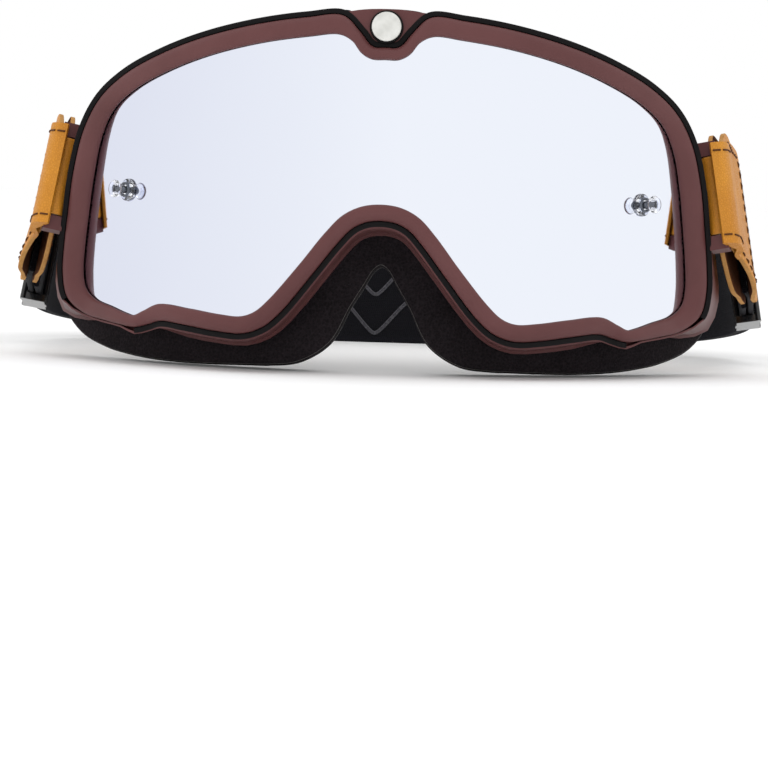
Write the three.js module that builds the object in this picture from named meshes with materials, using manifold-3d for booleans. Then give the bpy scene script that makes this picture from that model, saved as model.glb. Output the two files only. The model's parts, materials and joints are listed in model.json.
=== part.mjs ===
// Motorcycle goggles: a moulded frame, a mirrored lens held in it by a bezel, face foam,
// leather tabs that swing on steel bars, and an elastic head strap with two sliders.
// Millimetres. The goggles face -Y, +Z is up, and +X is the viewer's right. The part stands on a table,
// leaning back on the lower edge of its foam and on the bottom edge of the strap behind it.
import * as THREE from 'three';
import { ParametricGeometry } from 'three/addons/geometries/ParametricGeometry.js';
import { mergeVertices } from 'three/addons/utils/BufferGeometryUtils.js';
import Module from 'manifold-3d';

const wasm = await Module();
wasm.setup();

// ---------------------------------------------------------------- driving sizes
const GAP = 0.3; // between pieces that touch
const LEAN_BACK = THREE.MathUtils.degToRad(5); // how far the goggles lean back as they stand

const LENS_RADIUS = 97; // curve of the lens face round a vertical axis
const LENS_THICKNESS = 1.2;
const LENS_MARGIN = 1.8; // how far the lens runs in under the bezel
const LENS_HALF_WIDTH = 83.3;
const BROW_HEIGHT = 40.1;
const BROW_DIP_DEPTH = 6.5;
const BROW_DIP_HALF_WIDTH = 9.3;
const CHEEK_DEPTH = 34.4;
const CHEEK_CENTRE = 36.3; // how far out the lowest point of each cheek is
const CORNER_NOTCH_INSET = 16.5; // from the lens's side in to the notch in its lower edge
const NOSE_DEPTH = 4.4; // from the lens face's centre down to the top of the nose cut

const BEZEL_BROW_WIDTH = 4.8;
const BEZEL_DIP_WIDTH = 2.9;
const BEZEL_SIDE_WIDTH = 5.6;
const BEZEL_CHEEK_WIDTH = 4.1;
const BEZEL_NOSE_WIDTH = 3.8;
const BEZEL_CROWN = 1.5; // height of its crown in front of the lens

const SEAL_WIDTH = 1.0;
const SEAL_DEPTH = 2.4;
const BROW_LIP = 0.4; // thin edge of the frame outside the seal
const CHEEK_LIP = 0.7;
const CORNER_LIP = 0.5;
const LIP_SET_BACK = 0.9;
const GASKET_THICKNESS = 0.8;
const BEZEL_CLEARANCE = 0.6; // behind the bezel's skirt
const FRAME_TOP_RISE = 7.1; // from the lens's brow up to the frame's top edge over the dip
const FRAME_WALL = 2.2;
const BROW_FLARE = 1; // how much the frame's walls splay out towards the face
const SIDE_FLARE = 3.4;
const CORNER_TUCK = 3.2; // how far the walls lean in under the lower corner
const FRAME_DEPTH = 17.5; // at the middle, from the lens face to the foam seat
const FACE_FLANGE = 2.0; // thickness of the flange that carries the lens
const SIDE_DEPTH = 28.8; // at the sides, from the lens face to the foam seat
const SEAT_THICKNESS = 1.8;
const SEAT_STEP = 0.8;
const SEAT_WIDTH = 6.5;
const SIDE_SEAT_WIDTH = 4.6;

const FOAM_DEPTH = 15.5; // at the middle
const SIDE_FOAM_DEPTH = 10.1;
const FOAM_FACE_SHARE = 0.25; // share of the foam's depth that is the soft face layer
const FOAM_INNER_OVERHANG = 0.9; // how far the foam reaches in past the seat
const FOAM_BROW_OVERHANG = 2.6;
const FOAM_SIDE_OVERHANG = 1.2;
const FOAM_CHEEK_OVERHANG = 5.0;
const FOAM_SAG = 4; // how far the foam's lower edge bows down under the cheek
const NOSE_FOAM_DEPTH = 19.0;

const VENT_DEPTH = 5.6; // fore and aft size of each vent window
const VENT_FOAM_THICKNESS = 2.4;
const CENTRE_VENT_WIDTH = 20;
const SLIT_VENT_WIDTH = 2;
const INNER_VENT_WIDTH = 19;
const OUTER_VENT_WIDTH = 17;
const VENT_RIB = 2; // wall left between the middle vents
const SIDE_SLOTS = 6;
const SIDE_SLOT_WIDTH = 1.5;
const SIDE_SLOT_LENGTH = 4.2;

const POST_INSET = 13.7; // tear-off posts, in from the lens's side
const POST_SHAFT_RADIUS = 1.3;
const POST_FOOT_RADIUS = 3.3;
const POST_HEAD_RADIUS = 2.4;
const POST_HEIGHT = 5.6;
const WASHER_RADIUS = 3.8;
const WASHER_THICKNESS = 0.8;

const BADGE_DROP = 4.9; // from the frame's top edge down to the badge's centre
const BADGE_RADIUS = 3.9;
const BADGE_RING_RADIUS = 4.3;
const BADGE_SHANK_RADIUS = 1.4;

const BAR_RADIUS = 1.4;
const BAR_HEIGHT = 4.65; // of the strap bars' middles
const BAR_OUT = 2.6; // from the frame's side out to the bar
const BAR_BACK = 7.2; // from the lens edge back to the bar
const BAR_TILT = THREE.MathUtils.degToRad(10.5); // lower end further out
const LUG_LENGTH = 5.6;
const LUG_REACH_IN = 3; // from the bar's axis in to the frame's wall
const LUG_REACH_OUT = 2.2;
const LUG_HEIGHT = 4;
const PLY = 1.4; // thickness of the leather
const TAB_LENGTH = 48;
const TAB_FRONT_HALF_HEIGHT = 11;
const TAB_REAR_HALF_HEIGHT = 22.8;
const TAB_SPLAY = THREE.MathUtils.degToRad(13.5); // how far each tab points outwards
const STRAP_FALL = THREE.MathUtils.degToRad(6); // how much tabs and strap run down towards the back
const STRAP_WIDTH = 41.5;
const STRAP_THICKNESS = 1.5;
const STRAP_IN_TAB = 10;
const STRAP_STEP = 1.5; // how far the strap steps out where it leaves the tab
const STRAP_STRAIGHT = 38.7; // its straight length, where the slider runs
const STRAP_SPREAD = 3.5; // how far it opens over that length
const LOOP_DEPTH = 44; // from the end of the straight to the middle of the back
const STRAP_SPLIT = 0.56; // share of the half loop that the side piece covers
const TAIL_LENGTH = 70;
const SLIDER_BACK = 30.7; // from the tab's end to the slider's middle
const SLIDER_LENGTH = 13.6;
const SLIDER_BAR = 3.4;
const SLIDER_RAIL = 2.2;
const SLIDER_BAR_THICKNESS = 1.8;

// ---------------------------------------------------------------- solids
const SAMPLES_PER_STATION = 2;

// A closed body from a three.js geometry, always facing out.
function solid(geometry) {
  const bare = geometry.clone();
  bare.deleteAttribute('normal');
  bare.deleteAttribute('uv');
  const merged = mergeVertices(bare, 1e-4);
  const position = merged.attributes.position;
  const corner = [new THREE.Vector3(), new THREE.Vector3(), new THREE.Vector3()];
  const triangles = [];
  let volume = 0;
  for (let i = 0; i < merged.index.count; i += 3) {
    const ids = [0, 1, 2].map((k) => merged.index.getX(i + k));
    if (ids[0] === ids[1] || ids[1] === ids[2] || ids[2] === ids[0]) {
      continue;
    }
    ids.forEach((id, k) => corner[k].fromBufferAttribute(position, id));
    volume += corner[0].dot(corner[1].clone().cross(corner[2]));
    triangles.push(ids);
  }
  const facingOut = volume < 0 ? triangles.map(([a, b, c]) => [a, c, b]) : triangles;
  const mesh = new wasm.Mesh({
    numProp: 3,
    vertProperties: new Float32Array(position.array),
    triVerts: new Uint32Array(facingOut.flat()),
  });
  return new wasm.Manifold(mesh);
}

function box(x, y, z) {
  return new THREE.BoxGeometry(x, y, z);
}

// A round body about the local +Y axis from a closed list of [radius, height].
function turned(profile, segments = 16) {
  return new THREE.LatheGeometry(profile.map(([r, h]) => new THREE.Vector2(r, h)), segments);
}

const mirrored = (body) => body.mirror([1, 0, 0]);

// ---------------------------------------------------------------- outlines round the face
// Stations down the right half of the lens edge, from the brow's middle to the top of the nose cut:
// the lens edge, the bezel's width there, how far the foam overhangs, and the frame's or foam's own
// edge where it leaves the bezel's line. `sealed` is false where bezel and frame meet without a seal.
const dipTop = BROW_HEIGHT - BROW_DIP_DEPTH;
const frameTop = BROW_HEIGHT + FRAME_TOP_RISE;
const notch = LENS_HALF_WIDTH - CORNER_NOTCH_INSET;
const { lerp } = THREE.MathUtils;
// Places along the brow, the side, the cheek and the nose's flank, each from its first end to its last.
const alongBrow = (share) => lerp(BROW_DIP_HALF_WIDTH + 3.2, LENS_HALF_WIDTH - 14.3, share);
const downSide = (share) => lerp(BROW_HEIGHT - 17.8, 8.4 - CHEEK_DEPTH, share);
const alongCheek = (share) => lerp(notch, CHEEK_CENTRE, share);
const onFlank = (across, down) => [across * CHEEK_CENTRE, -lerp(NOSE_DEPTH, CHEEK_DEPTH, down)];
const onNoseFoam = (across, down) => [across * CHEEK_CENTRE, -lerp(NOSE_FOAM_DEPTH, CHEEK_DEPTH + 10.9, down)];
const underCheek = (share) => [
  lerp(LENS_HALF_WIDTH + 2.2, CHEEK_CENTRE - 6.5, share),
  -lerp(CHEEK_DEPTH + 3.2, CHEEK_DEPTH + 12, share) - FOAM_SAG * Math.sin(Math.PI * share ** 0.7),
];
const brow = {
  rim: BEZEL_BROW_WIDTH, lip: BROW_LIP, flare: BROW_FLARE, overhang: FOAM_BROW_OVERHANG, seat: SEAT_WIDTH,
};
const dip = { ...brow, rim: BEZEL_DIP_WIDTH };
const side = { ...brow, rim: BEZEL_SIDE_WIDTH, overhang: FOAM_SIDE_OVERHANG, seat: SIDE_SEAT_WIDTH };
const cheek = { ...brow, rim: BEZEL_CHEEK_WIDTH, lip: CHEEK_LIP, flare: 0 };
const corner = { ...cheek, lip: CORNER_LIP, flare: -CORNER_TUCK, sealed: false };
const nose = { ...cheek, rim: BEZEL_NOSE_WIDTH };
const STATIONS = [
  { lens: [0, dipTop], ...dip, frame: [0, frameTop] },
  { lens: [BROW_DIP_HALF_WIDTH - 5.7, dipTop + 0.1], ...dip, frame: [4.2, frameTop - 0.1] },
  { lens: [BROW_DIP_HALF_WIDTH - 2.9, dipTop + 1.6], ...dip, frame: [7.4, frameTop - 0.4] },
  { lens: [BROW_DIP_HALF_WIDTH - 0.3, BROW_HEIGHT - 1.7], ...dip, frame: [10.4, frameTop - 0.8] },
  { lens: [alongBrow(0), BROW_HEIGHT], ...brow },
  { lens: [alongBrow(0.14), BROW_HEIGHT - 0.6], ...brow },
  { lens: [alongBrow(0.37), BROW_HEIGHT - 2.2], ...brow },
  { lens: [alongBrow(0.62), BROW_HEIGHT - 5.1], ...brow },
  { lens: [alongBrow(0.83), BROW_HEIGHT - 8.8], ...brow },
  { lens: [alongBrow(1), BROW_HEIGHT - 13.1], ...brow },
  { lens: [LENS_HALF_WIDTH - 8.3, BROW_HEIGHT - 17.8], ...brow, overhang: 2.4 },
  { lens: [LENS_HALF_WIDTH - 4.8, downSide(0.14)], ...side, rim: 5.2, overhang: 1.8 },
  { lens: [LENS_HALF_WIDTH - 2.5, downSide(0.36)], ...side, flare: 0.45 * SIDE_FLARE },
  { lens: [LENS_HALF_WIDTH - 1.1, downSide(0.59)], ...side, flare: 0.6 * SIDE_FLARE },
  { lens: [LENS_HALF_WIDTH - 0.2, downSide(0.77)], ...side, flare: 0.8 * SIDE_FLARE },
  { lens: [LENS_HALF_WIDTH, downSide(0.91)], ...side, flare: SIDE_FLARE },
  { lens: [LENS_HALF_WIDTH - 1, downSide(1)], ...side, flare: 0.75 * SIDE_FLARE, overhang: 2.4 },
  { lens: [LENS_HALF_WIDTH - 4, 5.2 - CHEEK_DEPTH], ...corner, rim: 4.6, flare: 0, foam: underCheek(0) },
  { lens: [LENS_HALF_WIDTH - 9.3, 2.9 - CHEEK_DEPTH], ...corner, rim: 3.8, flare: -0.8 * CORNER_TUCK, foam: underCheek(0.15) },
  { lens: [notch + 2.7, 1 - CHEEK_DEPTH], ...corner, rim: 3.0, foam: underCheek(0.26) },
  { lens: [notch, 0.3 - CHEEK_DEPTH], ...cheek, rim: 2.8, flare: -CORNER_TUCK, foam: underCheek(0.35) },
  { lens: [notch - 2.8, 1.4 - CHEEK_DEPTH], ...cheek, rim: 3.4, flare: -0.75 * CORNER_TUCK, foam: underCheek(0.42) },
  { lens: [alongCheek(0.24), 3.2 - CHEEK_DEPTH], ...cheek, flare: -0.3 * CORNER_TUCK, foam: underCheek(0.48) },
  { lens: [alongCheek(0.52), 2 - CHEEK_DEPTH], ...cheek, foam: underCheek(0.61) },
  { lens: [alongCheek(0.8), 0.5 - CHEEK_DEPTH], ...cheek, foam: underCheek(0.76) },
  { lens: [alongCheek(1), -CHEEK_DEPTH], ...cheek, foam: underCheek(0.9) },
  { lens: [CHEEK_CENTRE - 3.6, 1.2 - CHEEK_DEPTH], ...cheek, foam: underCheek(1) },
  { lens: onFlank(0.8, 0.855), ...cheek, foam: onNoseFoam(0.59, 1) },
  { lens: onFlank(0.58, 0.54), ...nose, foam: onNoseFoam(0.364, 0.8) },
  { lens: onFlank(0.4, 0.26), ...nose, foam: onNoseFoam(0.22, 0.43) },
  { lens: onFlank(0.275, 0.103), ...nose, foam: onNoseFoam(0.125, 0.21) },
  { lens: onFlank(0.143, 0.023), ...nose, foam: onNoseFoam(0.055, 0.05) },
  { lens: onFlank(0, 0), ...nose, foam: onNoseFoam(0, 0) },
];
const HALF = STATIONS.length - 1;
const ROUND = 2 * HALF;
const SAMPLES = ROUND * SAMPLES_PER_STATION;
const LAST_SEALED_SIDE = STATIONS.findIndex((station) => station.sealed === false) - 1;
const FIRST_SEALED_CHEEK = STATIONS.findLastIndex((station) => station.sealed === false) + 1;

// A smooth closed outline in the XZ plane. place(t) runs clockwise from the brow, once round in t = 0..1.
class Outline {
  constructor(half) {
    const left = half.slice(1, -1).reverse().map(([x, z]) => [-x, z]);
    const points = [...half, ...left].map(([x, z]) => new THREE.Vector3(x, 0, z));
    this.curve = new THREE.CatmullRomCurve3(points, true, 'centripetal');
  }

  point(t) {
    return this.curve.getPoint(((t % 1) + 1) % 1);
  }

  outward(t) {
    const step = 1e-3;
    const along = this.point(t + step).sub(this.point(t - step)).normalize();
    return new THREE.Vector3(-along.z, 0, along.x);
  }

  // The point that lies `offset` outside the outline, at depth y, which may depend on x.
  at(t, offset, y) {
    const place = this.point(t).addScaledVector(this.outward(t), offset);
    place.y = typeof y === 'function' ? y(place.x) : y;
    return place;
  }
}

function offsetHalf(outline, distance) {
  return STATIONS.map((station, i) => {
    const place = outline.at(i / ROUND, distance(station), 0);
    return [place.x, place.z];
  });
}

const lensEdge = new Outline(STATIONS.map((station) => station.lens));
const rimEdge = new Outline(offsetHalf(lensEdge, (station) => station.rim));
const CHANNEL = SEAL_WIDTH + 2 * GAP;
const channel = (station) => (station.sealed === false ? 2 * GAP : CHANNEL);
const channelEdge = new Outline(offsetHalf(rimEdge, channel));
const frameHalf = offsetHalf(rimEdge, (station) => channel(station) + station.lip);
const frameEdge = new Outline(frameHalf.map((place, i) => STATIONS[i].frame ?? place));
const wallEdge = new Outline(offsetHalf(frameEdge, (station) => station.flare));
const innerWall = new Outline(offsetHalf(frameEdge, (station) => Math.min(station.flare, 0) - FRAME_WALL));
const flangeEdge = new Outline(offsetHalf(frameEdge, (station) => station.flare + SEAT_STEP));
const seatEdge = new Outline(offsetHalf(frameEdge, (station) => -station.seat));
const foamHalf = offsetHalf(frameEdge, (station) => station.overhang);
const foamEdge = new Outline(foamHalf.map((place, i) => STATIONS[i].foam ?? place));

// Depths, all as functions of x.
const lensY = (depth) => (x) => LENS_RADIUS - Math.sqrt((LENS_RADIUS - depth) ** 2 - x * x);
// A round curve in plan through (0, middle) and both (+-x, end).
function curveThrough(middle, x, end) {
  const rise = end - middle;
  const radius = (x * x + rise * rise) / (2 * rise);
  return (across) => middle + radius - Math.sqrt(radius * radius - across * across);
}
const frameSide = Math.max(...frameHalf.map(([x]) => x)) + SIDE_FLARE;
const sideSeat = lensY(0)(LENS_HALF_WIDTH) + SIDE_DEPTH;
const seatY = curveThrough(FRAME_DEPTH, frameSide, sideSeat);
const seatFrontY = (x) => seatY(x) - SEAT_THICKNESS;
const foamY = curveThrough(FRAME_DEPTH + FOAM_DEPTH, frameSide, sideSeat + SIDE_FOAM_DEPTH);
const foamSplitY = (x) => FOAM_FACE_SHARE * seatY(x) + (1 - FOAM_FACE_SHARE) * foamY(x);
const GROOVE_DEPTH = LENS_THICKNESS + GASKET_THICKNESS + 2 * GAP;
const frontY = (t) => lensY(0)(lensEdge.point(t).x);
const grooveY = (t) => lensEdge.at(t, LENS_MARGIN + GAP, lensY(GROOVE_DEPTH)).y;

// Sweeps a section, a list of functions of t, round the outlines. From t0 to t1 it gets flat ends.
function sweep(section, t0 = 0, t1 = 1, slices = SAMPLES) {
  const closed = t1 - t0 === 1;
  const steps = closed ? slices : slices + 2;
  const surface = (u, v, target) => {
    const row = Math.round(u * steps);
    const column = Math.round(v * section.length) % section.length;
    const slice = closed ? row : Math.min(Math.max(row - 1, 0), slices);
    const t = t0 + ((t1 - t0) * slice) / slices;
    if (!closed && (row === 0 || row === steps)) {
      const corners = section.map((place) => place(t));
      target.set(0, 0, 0);
      corners.forEach((place) => target.addScaledVector(place, 1 / corners.length));
    } else {
      target.copy(section[column](t));
    }
  };
  return solid(new ParametricGeometry(surface, steps, section.length));
}

// The value between low and high where a test that starts out true becomes false.
function turningPoint(low, high, test) {
  let [first, last] = [low, high];
  for (let i = 0; i < 30; i += 1) {
    const middle = (first + last) / 2;
    if (test(middle)) {
      first = middle;
    } else {
      last = middle;
    }
  }
  return (first + last) / 2;
}

// Station numbers as places t, and the place on the brow where the frame is x out from the middle.
const atStation = (number) => number / ROUND;
const browPlace = (x) => turningPoint(0, atStation(12), (t) => frameEdge.point(t).x < x);

// ---------------------------------------------------------------- frame
const lensBackY = lensY(GROOVE_DEPTH + FACE_FLANGE);
const cavityY = (x) => (lensBackY(x) + seatFrontY(x)) / 2;

function cutterOnWall(t, width, depth, height, y) {
  const step = 2e-3;
  const ahead = frameEdge.at(t + step, 0, y);
  const behind = frameEdge.at(t - step, 0, y);
  const along = ahead.sub(behind).normalize();
  const out = frameEdge.outward(t);
  const back = new THREE.Vector3().crossVectors(out, along).normalize();
  const outSquare = new THREE.Vector3().crossVectors(along, back);
  const basis = new THREE.Matrix4().makeBasis(along, back, outSquare);
  basis.setPosition(frameEdge.at(t, 0, y));
  return solid(box(width, depth, height).applyMatrix4(basis));
}

const slitStart = CENTRE_VENT_WIDTH / 2 + VENT_RIB;
const innerStart = slitStart + SLIT_VENT_WIDTH + VENT_RIB;
const outerEnd = LENS_HALF_WIDTH - 22.3;
const SLIT_VENT = { from: slitStart, to: slitStart + SLIT_VENT_WIDTH };
const INNER_VENT = { from: innerStart, to: innerStart + INNER_VENT_WIDTH };
const OUTER_VENT = { from: Math.max(outerEnd - OUTER_VENT_WIDTH, INNER_VENT.to + 2 * VENT_RIB + 2), to: outerEnd };

function ventCutters() {
  const tall = 2 * (FRAME_WALL + SIDE_FLARE);
  const cutters = [cutterOnWall(0, CENTRE_VENT_WIDTH, VENT_DEPTH, tall, cavityY)];
  for (const vent of [SLIT_VENT, INNER_VENT, OUTER_VENT]) {
    const t = browPlace((vent.from + vent.to) / 2);
    const cutter = cutterOnWall(t, vent.to - vent.from, VENT_DEPTH, tall, cavityY);
    cutters.push(cutter, mirrored(cutter));
  }
  return cutters;
}

function sideSlotCutters() {
  const cutters = [];
  const first = atStation(8.6);
  const last = atStation(11.6);
  const nearSeat = (x) => seatFrontY(x) - SIDE_SLOT_LENGTH / 2 - 0.6;
  for (let i = 0; i < SIDE_SLOTS; i += 1) {
    const t = first + ((last - first) * i) / (SIDE_SLOTS - 1);
    const cutter = cutterOnWall(t, SIDE_SLOT_WIDTH, SIDE_SLOT_LENGTH, 2 * (FRAME_WALL + SIDE_FLARE), nearSeat);
    cutters.push(cutter, mirrored(cutter));
  }
  return cutters;
}

// The strap bar stands beside the frame's right side. Its own axes run along the tab, out through its thickness, and up the bar.
const barPlace = turningPoint(atStation(9), atStation(16), (t) => frameEdge.point(t).z > BAR_HEIGHT);
const BAR_CENTRE = frameEdge.at(barPlace, 0, frontY(barPlace) + BAR_BACK);
BAR_CENTRE.x += BAR_OUT;
const tabAlong = new THREE.Vector3(
  Math.sin(TAB_SPLAY) * Math.cos(STRAP_FALL),
  Math.cos(TAB_SPLAY) * Math.cos(STRAP_FALL),
  -Math.sin(STRAP_FALL),
);
const barUp = new THREE.Vector3(-Math.sin(BAR_TILT), 0, Math.cos(BAR_TILT));
barUp.addScaledVector(tabAlong, -barUp.dot(tabAlong)).normalize();
const tabOut = new THREE.Vector3().crossVectors(tabAlong, barUp);
const barBasis = new THREE.Matrix4().makeBasis(tabAlong, tabOut, barUp).setPosition(BAR_CENTRE);
const onBar = (geometry, a, b, c) => solid(geometry.translate(a, b, c).applyMatrix4(barBasis));
const upright = (geometry) => geometry.rotateX(Math.PI / 2);

const TAB_LOOP_RADIUS = BAR_RADIUS + GAP + PLY;
const WINDOW_HALF_HEIGHT = TAB_FRONT_HALF_HEIGHT + GAP;
const BAR_HALF_LENGTH = WINDOW_HALF_HEIGHT + LUG_HEIGHT - 0.8;

function sideWindow() {
  const front = TAB_LOOP_RADIUS + 1;
  const back = 9;
  const inward = 4;
  const outward = 8;
  const window = box(front + back, inward + outward, 2 * WINDOW_HALF_HEIGHT);
  return onBar(window, (back - front) / 2, (outward - inward) / 2, 0);
}

function barLugs() {
  const lug = () => box(LUG_LENGTH, LUG_REACH_IN + LUG_REACH_OUT, LUG_HEIGHT);
  const height = WINDOW_HALF_HEIGHT + LUG_HEIGHT / 2;
  const shift = (LUG_REACH_OUT - LUG_REACH_IN) / 2;
  return [onBar(lug(), 0, shift, height), onBar(lug(), 0, shift, -height)];
}

function barHole() {
  const radius = BAR_RADIUS + GAP / 2;
  return onBar(upright(new THREE.CylinderGeometry(radius, radius, 2 * (BAR_HALF_LENGTH + GAP), 20)), 0, 0, 0);
}

const badgeHeight = frameTop - BADGE_DROP;

function mainFrame() {
  const section = [
    (t) => lensEdge.at(t, 0.6, lensY(GROOVE_DEPTH)),
    (t) => lensEdge.at(t, LENS_MARGIN + GAP, lensY(GROOVE_DEPTH)),
    (t) => channelEdge.at(t, 0, grooveY(t)),
    (t) => channelEdge.at(t, 0, frontY(t) + LIP_SET_BACK),
    (t) => frameEdge.at(t, 0, frontY(t) + LIP_SET_BACK + GAP),
    (t) => wallEdge.at(t, 0, seatFrontY),
    (t) => flangeEdge.at(t, 0, seatFrontY),
    (t) => flangeEdge.at(t, 0, seatY),
    (t) => seatEdge.at(t, 0, seatY),
    (t) => seatEdge.at(t, 0, seatFrontY),
    (t) => innerWall.at(t, 0, seatFrontY),
    (t) => frameEdge.at(t, -FRAME_WALL, grooveY(t) + FACE_FLANGE),
    (t) => lensEdge.at(t, 0.6, lensBackY),
  ];
  let frame = sweep(section);
  for (const lug of barLugs()) {
    frame = frame.add(lug).add(mirrored(lug));
  }
  const badgeHole = new THREE.CylinderGeometry(BADGE_SHANK_RADIUS + GAP, BADGE_SHANK_RADIUS + GAP, 14, 20);
  badgeHole.translate(0, 0, badgeHeight);
  const cutters = [
    sideWindow(),
    mirrored(sideWindow()),
    barHole(),
    mirrored(barHole()),
    solid(badgeHole),
    ...ventCutters(),
    ...sideSlotCutters(),
  ];
  for (const cutter of cutters) {
    frame = frame.subtract(cutter);
  }
  return frame;
}

function strapBar() {
  return onBar(upright(new THREE.CylinderGeometry(BAR_RADIUS, BAR_RADIUS, 2 * BAR_HALF_LENGTH, 24)), 0, 0, 0);
}

// ---------------------------------------------------------------- bezel, seals, lens
const acrossRim = (t, share) => lensEdge.point(t).lerp(rimEdge.point(t), share);
const onRim = (t, share, rise) => acrossRim(t, share).setY(frontY(t) - rise);

function bezel() {
  const overLens = lensY(-GAP);
  const section = [
    (t) => lensEdge.at(t, 0, overLens),
    (t) => onRim(t, 0, BEZEL_CROWN - 0.6),
    (t) => onRim(t, 0.2, BEZEL_CROWN),
    (t) => onRim(t, 0.68, BEZEL_CROWN - 0.3),
    (t) => onRim(t, 0.92, 0.4),
    (t) => onRim(t, 1, -0.5),
    (t) => rimEdge.at(t, 0, grooveY(t) - BEZEL_CLEARANCE),
    (t) => lensEdge.at(t, LENS_MARGIN + GAP, grooveY(t) - BEZEL_CLEARANCE),
    (t) => lensEdge.at(t, LENS_MARGIN + GAP, overLens),
  ];
  return sweep(section.reverse());
}

function seal(t0, t1, slices) {
  const top = (t) => frontY(t) + LIP_SET_BACK - 0.4;
  const bottom = (t) => Math.min(top(t) + SEAL_DEPTH, grooveY(t) - GAP);
  return sweep(
    [
      (t) => rimEdge.at(t, GAP, top(t)),
      (t) => channelEdge.at(t, -GAP, top(t)),
      (t) => channelEdge.at(t, -GAP, bottom(t)),
      (t) => rimEdge.at(t, GAP, bottom(t)),
    ],
    t0,
    t1,
    slices,
  );
}

const upperSeal = () =>
  seal(-atStation(LAST_SEALED_SIDE), atStation(LAST_SEALED_SIDE), 2 * LAST_SEALED_SIDE * SAMPLES_PER_STATION);
const lowerSeal = () =>
  seal(atStation(FIRST_SEALED_CHEEK), atStation(ROUND - FIRST_SEALED_CHEEK),
    (ROUND - 2 * FIRST_SEALED_CHEEK) * SAMPLES_PER_STATION);

const postOffset = LENS_HALF_WIDTH - POST_INSET;
const postAngle = Math.asin(postOffset / LENS_RADIUS);
const postNormal = new THREE.Vector3(Math.sin(postAngle), -Math.cos(postAngle), 0);
const postPlace = new THREE.Vector3(postOffset, lensY(0)(postOffset), 0);
// Stands a body turned about +Y on the lens, its height measured out from the lens face.
function onPost(geometry) {
  const turn = new THREE.Quaternion().setFromUnitVectors(new THREE.Vector3(0, 1, 0), postNormal);
  return solid(geometry.applyQuaternion(turn).translate(postPlace.x, postPlace.y, postPlace.z));
}

function lens() {
  const inner = LENS_RADIUS - LENS_THICKNESS;
  const tall = BROW_HEIGHT + LENS_MARGIN + 5;
  const ring = turned([[inner, -tall], [LENS_RADIUS, -tall], [LENS_RADIUS, tall], [inner, tall], [inner, -tall]], 108);
  ring.rotateX(Math.PI / 2).translate(0, LENS_RADIUS, 0);
  const shape = new THREE.Shape();
  for (let i = 0; i < SAMPLES; i += 1) {
    const place = lensEdge.at(i / SAMPLES, LENS_MARGIN, 0);
    shape[i === 0 ? 'moveTo' : 'lineTo'](place.x, place.z);
  }
  const prism = new THREE.ExtrudeGeometry(shape, { depth: LENS_RADIUS, bevelEnabled: false });
  upright(prism).translate(0, LENS_RADIUS - 5, 0);
  const hole = new THREE.CylinderGeometry(POST_SHAFT_RADIUS + GAP, POST_SHAFT_RADIUS + GAP, 8, 20);
  const drilled = onPost(hole);
  return solid(ring).intersect(solid(prism)).subtract(drilled).subtract(mirrored(drilled));
}

function gasket() {
  const front = lensY(LENS_THICKNESS + GAP);
  const back = lensY(LENS_THICKNESS + GAP + GASKET_THICKNESS);
  return sweep([
    (t) => lensEdge.at(t, 0.7, front),
    (t) => lensEdge.at(t, LENS_MARGIN, front),
    (t) => lensEdge.at(t, LENS_MARGIN, back),
    (t) => lensEdge.at(t, 0.7, back),
  ]);
}

function tearoffPost() {
  const behind = LENS_THICKNESS + 2 * GAP + WASHER_THICKNESS + 0.6;
  return onPost(turned([
    [0, -behind],
    [POST_SHAFT_RADIUS, -behind],
    [POST_SHAFT_RADIUS, GAP],
    [POST_FOOT_RADIUS, GAP],
    [POST_FOOT_RADIUS - 0.3, 1],
    [POST_SHAFT_RADIUS + 0.2, 1.2],
    [POST_SHAFT_RADIUS, POST_HEIGHT - 2],
    [POST_HEAD_RADIUS, POST_HEIGHT - 1.2],
    [POST_HEAD_RADIUS - 0.3, POST_HEIGHT - 0.4],
    [POST_HEAD_RADIUS - 1.1, POST_HEIGHT],
    [0, POST_HEIGHT],
  ]));
}

function postWasher() {
  const top = -LENS_THICKNESS - GAP;
  const hole = POST_SHAFT_RADIUS + GAP;
  return onPost(turned([
    [hole, top - WASHER_THICKNESS],
    [WASHER_RADIUS, top - WASHER_THICKNESS],
    [WASHER_RADIUS, top],
    [hole, top],
    [hole, top - WASHER_THICKNESS],
  ]));
}

// The badge lies on the web that fills the brow's dip, and faces forward.
const webY = LIP_SET_BACK;
function onWeb(geometry) {
  return solid(geometry.rotateX(Math.PI).translate(0, webY, badgeHeight));
}

const RING_THICKNESS = 0.6;
function badgeRing() {
  const hole = BADGE_SHANK_RADIUS + GAP;
  return onWeb(turned([
    [hole, GAP],
    [BADGE_RING_RADIUS, GAP],
    [BADGE_RING_RADIUS, GAP + RING_THICKNESS],
    [hole, GAP + RING_THICKNESS],
    [hole, GAP],
  ], 32));
}

function badgeStud() {
  const foot = 2 * GAP + RING_THICKNESS;
  return onWeb(turned([
    [0, -3],
    [BADGE_SHANK_RADIUS, -3],
    [BADGE_SHANK_RADIUS, foot],
    [BADGE_RADIUS, foot],
    [BADGE_RADIUS, foot + 0.6],
    [BADGE_RADIUS - 0.5, foot + 1],
    [0, foot + 1],
  ], 32));
}

// ---------------------------------------------------------------- foams
// The layer between two faces, each a function of t that gives a depth as a function of x.
function foamLayer(here, there) {
  const section = [
    (t) => foamEdge.at(t, 0, here(t)),
    (t) => foamEdge.at(t, 0, there(t)),
    (t) => seatEdge.at(t, -FOAM_INNER_OVERHANG, there(t)),
    (t) => seatEdge.at(t, -FOAM_INNER_OVERHANG, here(t)),
  ];
  return sweep(section, 0, 1, ROUND);
}

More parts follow.
